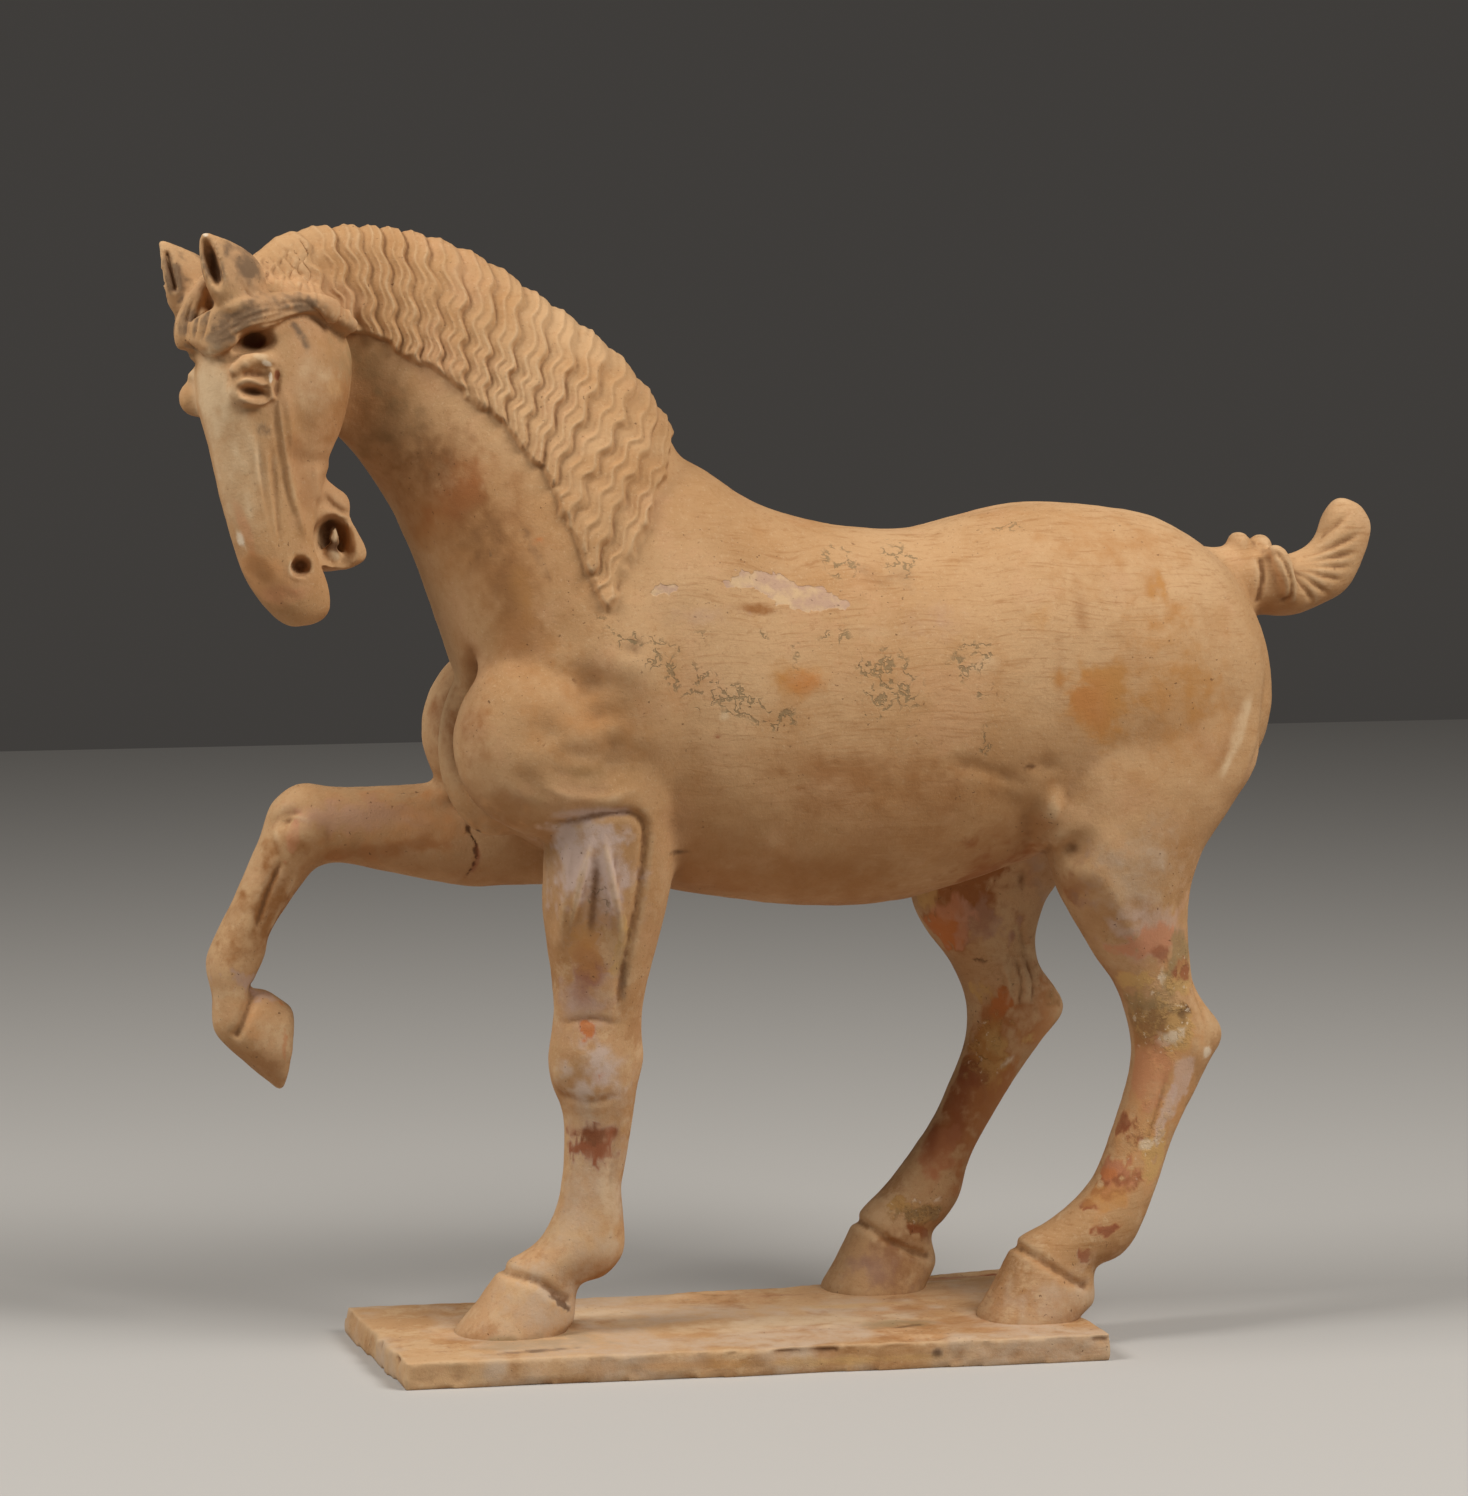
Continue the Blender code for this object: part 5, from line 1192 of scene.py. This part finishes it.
# Dirt beads on the crack, and streaks seen from the left: tone or mask, line, width and strength
CRACK_BEADS = ((-108.6, 232), (-105.4, 222))
SIDE_STREAKS = ((RED_BROWN, ((-106, 226), (-104, 219), (-107, 210)), 1.2, 0.5),
                (MAUVE, ((-89, 244), (-68, 246), (-49, 245.6)), 2.2, 0.7),
                ("brown", ((207, 254), (220, 270), (229, 292)), 4, 0.8),
                (RED_BROWN, ((98, 130), (108, 108), (112, 86), (106, 66)), 2.5, 0.6),
                (CREAM, ((212, 252), (226, 272), (234, 296)), 2, 0.5))
# The slab's stains, from above and from the left
SLAB_STAINS = (
    (SALMON, (118, 62), (34, 5), 0, 0.8), (RED_BROWN, (128, 66), (26, 3), 0, 0.7),
    (CHALK, (108, 52), (26, 3.5), 2, 0.6), (YELLOW, (60, 10), (34, 6), 0, 0.4),
    (KHAKI, (-90, -30), (40, 26), 10, 0.35), (UMBER, (-100, -52), (24, 4), 4, 0.45),
    (CREAM, (20, -20), (70, 16), 2, 0.4), (CREAM, (-60, 20), (40, 14), 0, 0.35),
    (KHAKI, (70, -35), (20, 9), 0, 0.5), (UMBER, (74, -40), (9, 2), 20, 0.5),
    (RED_BROWN, (36, 40), (20, 3), 4, 0.3), ("brown", (110, -40), (40, 20), 0, 0.5))
SLAB_SIDE_STAINS = (
    (OCHRE, (-30, 6), (60, 3), 0, 0.35), (YELLOW, (40, 5), (50, 3), 0, 0.4),
    (UMBER, (78, 7), (3, 2.5), 0, 0.6), ("brown", (120, 5), (30, 4), 0, 0.5))


class Page:
    """Paint on a mesh: the stains' colour with how strongly it covers, and the other masks."""

    def __init__(self, item):
        self.skin = Skin(item.data)
        points = self.skin.points
        self.tone = np.tile(BUFF, (len(points), 1))
        self.cover = np.zeros(len(points))
        self.masks = {name: np.zeros(len(points)) for name in MASKS}
        self.torn = (0.45 * grain(points, 9, 31) + 0.35 * grain(points, 4, 32)
                     + 0.25 * grain(points, 1.9, 33))
        self.pages = {}

    def facing_page(self, axes, side):
        """The skin's places on a page, and how squarely it faces that side of it."""
        if (id(axes), side) not in self.pages:
            points = self.skin.points
            turned = facing(self.skin, axes.rows[2] * side)
            if axes is SIDE_VIEW and side == NEAR:
                turned = turned * ~behind_foreleg(points)
            self.pages[id(axes), side] = (axes.local(points)[:, :2], turned)
        return self.pages[id(axes), side]

    def lay(self, what, amount, here=slice(None)):
        """Raise a mask, or lay a tone over the stains that are there."""
        if what in self.masks:
            self.masks[what][here] = np.maximum(self.masks[what][here], amount)
            return
        total = self.cover[here] * (1 - amount) + amount
        share = amount / np.maximum(total, 1e-6)
        self.tone[here] += (np.array(what) - self.tone[here]) * share[:, None]
        self.cover[here] = total

    def blot(self, what, axes, centre, radii, tilt=0, strength=1.0, side=NEAR, soft=0.8, tear=0.55):
        page, turned = self.facing_page(axes, side)
        here = np.flatnonzero(np.all(np.abs(page - centre) < 2 * max(radii), axis=1) & (turned > 0))
        gap = np.hypot(*oval_places(page[here], centre, radii, tilt))
        amount = ramp(1.15 - gap + tear * self.torn[here], 0, soft)
        self.lay(what, strength * amount * turned[here], here)

    def streak(self, what, axes, line, width, strength=1.0, side=NEAR, fade=0.2):
        page, turned = self.facing_page(axes, side)
        line = smooth_curve(line)
        inside = (page > line.min(axis=0) - 3 * width) & (page < line.max(axis=0) + 3 * width)
        here = np.flatnonzero(np.all(inside, axis=1) & (turned > 0))
        gap, _, spot = line_places(page[here], line)
        self.lay(what, strength * np.exp(-(gap / width) ** 2)
                 * ramp(np.minimum(spot, 1 - spot), -0.01, fade) * turned[here], here)

    def blots(self, axes, rows, **looks):
        for what, *spot in rows:
            self.blot(what, axes, *spot, **looks)

    def streaks(self, axes, rows, **looks):
        for what, line, width, strength in rows:
            self.streak(what, axes, line, width, strength, **looks)

    def keep(self, mesh, used=slice(None)):
        """Write the paint of the vertices used as the mesh's attributes."""
        for name, amount in self.masks.items():
            attribute = mesh.attributes.new(name, "FLOAT", "POINT")
            attribute.data.foreach_set("value", np.clip(amount[used], 0, 1).astype(np.float32))
        stain = np.column_stack([self.tone, self.cover])[used].astype(np.float32)
        mesh.attributes.new("stain", "FLOAT_COLOR", "POINT").data.foreach_set("color", stain.ravel())


def hollows(skin, rounds):
    """How hollow the skin is at each vertex: over 0 in grooves and under 0 on ridges."""
    return ((neighbour_means(skin.mesh, skin.points, rounds) - skin.points) * skin.normals).sum(axis=1)


def age(page, rounds):
    """Painted shade and dirt darkening the hollows, painted shade browning what faces down, and wear on
    the ridges.
    """
    skin = page.skin
    hollow_shade = hollows(skin, rounds)
    # painted shade and dirt: the grooves and hollows get a mask that darkens them
    page.lay("hollow_shade", ramp(hollow_shade, 0.02, 0.42))
    page.lay("worn", ramp(-hollow_shade, 0.02, 0.4))
    # painted shade: what faces down is browned by the brown mask
    page.lay("brown", 0.9 * ramp(-skin.normals[:, 2], -0.1, 0.75))


def paint_figure(figure):
    page = Page(figure)
    age(page, 7)
    for what, *spot in BODY_STAINS:
        soft, tear = (0.12, 0.8) if what == "scar" else (1.1, 0.6)
        page.blot(what, SIDE_VIEW, *spot, soft=soft, tear=tear)
    for what, *spot in LEG_STAINS:
        soft, tear = (0.35, 1.5) if max(spot[1]) < SMALL_STAIN else (1, 0.8)
        page.blot(what, SIDE_VIEW, *spot, soft=soft, tear=tear)
    for spot in CRACKLED:
        page.blot("crackle", SIDE_VIEW, *spot)
    page.blots(SIDE_VIEW, FAR_STAINS, side=FAR)
    for side in (1, -1):
        for spot in DARK_HAIR:
            page.blot(GREY_BROWN, HEAD_PROFILE, *spot, side=side, soft=1.4, tear=0.9)
    page.blots(FACE_VIEW, HEAD_STAINS, side=1, soft=0.7, tear=0.3)
    for line in PALE_STREAKS:
        page.streak(CREAM, FACE_VIEW, line, 1.6, 0.45, side=1, fade=0.5)
    page.streaks(FACE_VIEW, DARK_STREAKS, side=1)
    page.streak(DARK, SIDE_VIEW, CRACK, 0.35, 0.8)
    for bead in CRACK_BEADS:
        page.blot(UMBER, SIDE_VIEW, bead, (1.3, 1.8), soft=0.5)
    page.streaks(SIDE_VIEW, SIDE_STREAKS)
    return page


def paint_slab(slab):
    page = Page(slab)
    age(page, 4)
    points = page.skin.points
    up = ramp(page.skin.normals[:, 2], 0.3, 0.8)
    page.lay(ASH, 0.5 * ramp(grain(points, 30, 41) + 0.6 * grain(points, 9, 43), -0.7, 0.5))
    page.lay("brown", 0.2 * up * ramp(grain(points, 45, 42), 0, 0.7))
    page.blots(TOP_VIEW, SLAB_STAINS, side=1)
    page.blots(SIDE_VIEW, SLAB_SIDE_STAINS)
    return page


class Nodes:
    """A small helper for writing a material's nodes in order."""

    def __init__(self, tree):
        self.tree = tree

    def add(self, kind, **settings):
        node = self.tree.nodes.new(kind)
        for name, value in settings.items():
            setattr(node, name, value)
        return node

    def feed(self, socket, value):
        if isinstance(value, bpy.types.NodeSocket):
            self.tree.links.new(value, socket)
        else:
            socket.default_value = value

    def noise(self, place, scale, detail, rough=0.5, output="Fac"):
        node = self.add("ShaderNodeTexNoise")
        self.feed(node.inputs["Vector"], place)
        for name, value in (("Scale", scale), ("Detail", detail), ("Roughness", rough)):
            node.inputs[name].default_value = value
        return node.outputs[output]

    def ramp(self, value, low, high):
        node = self.add("ShaderNodeMapRange", interpolation_type="SMOOTHSTEP")
        self.feed(node.inputs["Value"], value)
        node.inputs["From Min"].default_value = low
        node.inputs["From Max"].default_value = high
        return node.outputs["Result"]

    def math(self, operation, *values):
        node = self.add("ShaderNodeMath", operation=operation)
        for socket, value in zip(node.inputs, values):
            self.feed(socket, value)
        return node.outputs[0]

    def patches(self, place, scale, detail, rough, low, high):
        """Patches of noise, from 0 where it is under low to 1 where it is over high."""
        return self.ramp(self.noise(place, scale, detail, rough), low, high)

    def times(self, one, two):
        return self.math("MULTIPLY", one, two)

    def mix(self, factor, one, two, blend="MIX"):
        node = self.add("ShaderNodeMix", data_type="RGBA", blend_type=blend)
        self.feed(node.inputs["Factor"], factor)
        for socket, value in ((node.inputs[6], one), (node.inputs[7], two)):
            self.feed(socket, value if isinstance(value, bpy.types.NodeSocket) else (*value, 1.0))
        return node.outputs[2]

    def tint(self, colour, cover, strength, tone):
        return self.mix(self.times(cover, strength), colour, tone)

    def mask(self, name):
        return self.add("ShaderNodeAttribute", attribute_name=name).outputs["Fac"]

    def along(self, place, axis):
        node = self.add("ShaderNodeSeparateXYZ")
        self.feed(node.inputs["Vector"], place)
        return node.outputs[axis]


# The slip's mottling: a noise's scale, detail and roughness, its range, its strength and its tone
MOTTLING = ((22, 5, 0.65, 0.5, 0.62, 0.4, PINK_BUFF), (34, 5, 0.62, 0.5, 0.68, 0.45, OCHRE_BUFF),
            (120, 5, 0.7, 0.5, 0.75, 0.3, LIGHT_BUFF), (420, 4, 0.75, 0.52, 0.7, 0.3, BROWN),
            (650, 3, 0.7, 0.56, 0.72, 0.35, CREAM))
# Where the legs' wear and the brushed lines set in and are full, in metres
LEG_WEAR = (0.25, 0.17)
BRUSHED_FROM = (-0.07, 0.0)


def coating(n, place):
    """The slip's colour: mottled buff, smeared legs, and browner where the mask says, which is painted
    shade on the undersides and neck as well as brown stains.
    """
    colour = n.mix(n.patches(place, 9, 4, 0.5, 0.33, 0.67), LIGHT_BUFF, BUFF)
    for *noise, strength, tone in MOTTLING:
        colour = n.tint(colour, n.patches(place, *noise), strength, tone)
    legs = n.ramp(n.along(place, "Z"), *LEG_WEAR)
    smears = n.patches(place, 60, 6, 0.7, 0.5, 0.6)
    colour = n.mix(n.times(smears, n.times(legs, 0.4)), colour, CREAM)
    smudges = n.patches(place, 38, 6, 0.68, 0.54, 0.64)
    colour = n.mix(n.times(smudges, n.times(legs, 0.45)), colour, BROWN)
    # painted shade and brown stains: the mask browns the undersides, the neck under the mane and other
    # places
    return n.mix(n.times(n.mask("brown"), n.patches(place, 26, 5, 0.6, 0.1, 0.7)), colour, BROWN)


def brushed_lines(n, place):
    """Fine strokes that run along the body, waving a little."""
    bent = n.mix(0.02, place, n.noise(place, 14, 2, output="Color"), "ADD")
    stretched = n.add("ShaderNodeMapping")
    n.feed(stretched.inputs["Vector"], bent)
    stretched.inputs["Scale"].default_value = (55, 170, 760)
    return n.noise(stretched.outputs["Vector"], 1, 4, 0.65)


def crackle_lines(n, place):
    """Thin branching lines where two thicknesses of slip meet."""
    bent = n.mix(0.006, place, n.noise(place, 260, 2, output="Color"), "ADD")
    level = n.noise(bent, 92, 3.5, 0.6)
    near_line = n.math("ABSOLUTE", n.math("SUBTRACT", level, 0.5))
    broken = n.times(n.ramp(near_line, 0.033, 0.012), n.patches(place, 130, 2, 0.5, 0.38, 0.48))
    return n.times(broken, n.ramp(n.mask("crackle"), 0.1, 0.6))


def earthenware():
    """The one material: the coating, brushed lines, stains, crust, wear, painted shade and a fine grit.
    """
    material = bpy.data.materials.new("Buff earthenware slip")
    material.use_nodes = True
    shader = material.node_tree.nodes["Principled BSDF"]
    n = Nodes(material.node_tree)
    place = n.add("ShaderNodeTexCoord").outputs["Object"]

    colour = coating(n, place)
    brushed = brushed_lines(n, place)
    in_strokes = n.times(n.patches(place, 7, 2, 0.5, 0.35, 0.6),
                         n.ramp(n.along(place, "X"), *BRUSHED_FROM))
    colour = n.tint(colour, n.times(n.ramp(brushed, 0.5, 0.72), in_strokes), 0.5, BROWN)
    colour = n.tint(colour, n.times(n.ramp(brushed, 0.47, 0.3), in_strokes), 0.25, LIGHT_BUFF)

    stain = n.add("ShaderNodeAttribute", attribute_name="stain")
    patchy = n.math("SUBTRACT", n.noise(place, 85, 6, 0.68), 0.5)
    laid = stain.outputs["Alpha"]
    cover = n.math("ADD", laid, n.times(patchy, n.times(laid, 2.6)))
    colour = n.mix(n.ramp(cover, 0.06, 0.78), colour, stain.outputs["Color"])

    crust = n.times(n.mask("crust"), n.patches(place, 190, 5, 0.7, 0.45, 0.62))
    flakes = n.times(n.mask("crust"), n.patches(place, 330, 3, 0.6, 0.63, 0.68))
    crackle = crackle_lines(n, place)
    worn = n.times(n.mask("worn"), n.patches(place, 90, 5, 0.65, 0.3, 0.6))
    scar = n.ramp(n.mask("scar"), 0.35, 0.6)
    scar_tone = n.mix(n.patches(place, 150, 4, 0.5, 0.35, 0.6), CREAM, MAUVE)
    specks = n.times(n.patches(place, 520, 2, 0.5, 0.70, 0.74),
                     n.patches(place, 18, 3, 0.5, 0.4, 0.65))
    # umber brown laid in the grooves and hollows is painted shade and dirt
    for cover, strength, tone in ((crust, 0.65, YELLOW), (flakes, 0.8, CHALK),
                                  (crackle, 0.62, GREY_GREEN), (worn, 0.45, CREAM),
                                  (n.mask("hollow_shade"), 0.8, UMBER_BROWN), (scar, 0.7, scar_tone),
                                  (specks, 0.65, UMBER)):
        colour = n.tint(colour, cover, strength, tone)
    n.feed(shader.inputs["Base Color"], colour)
    n.feed(shader.inputs["Roughness"], n.patches(place, 60, 4, 0.5, -1.2, 1.1))
    shader.inputs["Specular IOR Level"].default_value = 0.2

    height = n.times(n.noise(place, 170, 6, 0.62), 0.8)
    for form, lift in ((n.noise(place, 800, 4, 0.7), 0.45), (n.times(brushed, in_strokes), 0.25),
                       (specks, -0.4), (crackle, -0.5), (scar, -0.5), (crust, 0.9)):
        height = n.math("ADD", height, n.times(form, lift))
    bump = n.add("ShaderNodeBump")
    bump.inputs["Strength"].default_value = 0.8
    bump.inputs["Distance"].default_value = 0.0006
    n.feed(bump.inputs["Height"], height)
    n.feed(shader.inputs["Normal"], bump.outputs["Normal"])
    return material


# The studio: its floor, the room's light, and each softbox's name, place and power
FLOOR_SIZE = 3.0
FLOOR_TONE = (0.53, 0.515, 0.49, 1.0)
ROOM_TONE = (0.84, 0.78, 0.72, 1.0)
ROOM_LIGHT = 0.06
SOFTBOX_TARGET = (0, 0, 0.28)
SOFTBOX_SIZE = 0.9
SOFTBOX_TONE = (1.0, 0.97, 0.93)
SOFTBOXES = (("Key", (1.0, -1.0, 1.69), 34), ("Fill", (-1.39, -0.25, 1.69), 29))


def pale_floor(collection):
    clay = bmesh.new()
    bmesh.ops.create_grid(clay, x_segments=1, y_segments=1, size=FLOOR_SIZE)
    floor = mesh_object("floor", clay, collection)
    material = bpy.data.materials.new("Pale floor")
    material.use_nodes = True
    shader = material.node_tree.nodes["Principled BSDF"]
    shader.inputs["Base Color"].default_value = FLOOR_TONE
    shader.inputs["Roughness"].default_value = 0.9
    floor.data.materials.append(material)


def softbox(name, place, power, collection):
    light = bpy.data.lights.new(name, "AREA")
    light.shape = "SQUARE"
    light.size = SOFTBOX_SIZE
    light.energy = power
    light.color = SOFTBOX_TONE
    item = bpy.data.objects.new(name, light)
    item.location = place
    item.rotation_euler = (Vector(SOFTBOX_TARGET) - Vector(place)).to_track_quat("-Z", "Y").to_euler()
    collection.objects.link(item)


def studio(collection):
    bpy.context.scene.view_settings.view_transform = "Standard"
    world = bpy.data.worlds.new("Studio")
    bpy.context.scene.world = world
    world.use_nodes = True
    background = world.node_tree.nodes["Background"]
    background.inputs["Color"].default_value = ROOM_TONE
    background.inputs["Strength"].default_value = ROOM_LIGHT
    for name, place, power in SOFTBOXES:
        softbox(name, place, power, collection)


# The photograph's camera: metres, degrees and millimetres
CAMERA_TARGET = (-0.0065, -0.044, 0.272)
CAMERA_DISTANCE = 2.1739
CAMERA_AZIMUTH = -14.0
CAMERA_HEIGHT = 5.2
CAMERA_LENS = 120.3
SENSOR_WIDTH = 36.0


def photograph_camera(collection):
    azimuth, height = math.radians(CAMERA_AZIMUTH), math.radians(CAMERA_HEIGHT)
    back = Vector((math.sin(azimuth) * math.cos(height), -math.cos(azimuth) * math.cos(height),
                   math.sin(height)))
    camera = bpy.data.cameras.new("Photograph")
    camera.lens = CAMERA_LENS
    camera.sensor_width = SENSOR_WIDTH
    item = bpy.data.objects.new("Photograph", camera)
    item.location = Vector(CAMERA_TARGET) + back * CAMERA_DISTANCE
    item.rotation_euler = back.to_track_quat("Z", "Y").to_euler()
    collection.objects.link(item)
    bpy.context.scene.camera = item


def main():
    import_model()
    collection = bpy.context.scene.collection

    front, rear, near, far = slab_edges()
    figure = model_figure(collection)
    slab = model_slab(rear - front, far - near, collection)
    figure_page = paint_figure(figure)
    slab_page = paint_slab(slab)
    lift = SLAB_THICKNESS - DRAWN_SOLE * UNIT
    place = Matrix.Translation((-(front + rear) / 2, -(near + far) / 2, lift))
    pieces = cut_pieces(figure, figure_page, place @ Matrix.Scale(UNIT, 4), collection)
    slab_page.keep(slab.data)
    slab.data.transform(Matrix.Scale(UNIT, 4))
    slab.data.shade_smooth()
    material = earthenware()
    for item in pieces + [slab]:
        item.data.materials.append(material)
        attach(item, "root")
        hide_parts("dancing_horse")

    pale_floor(collection)
    studio(collection)
    photograph_camera(collection)
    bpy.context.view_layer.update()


main()
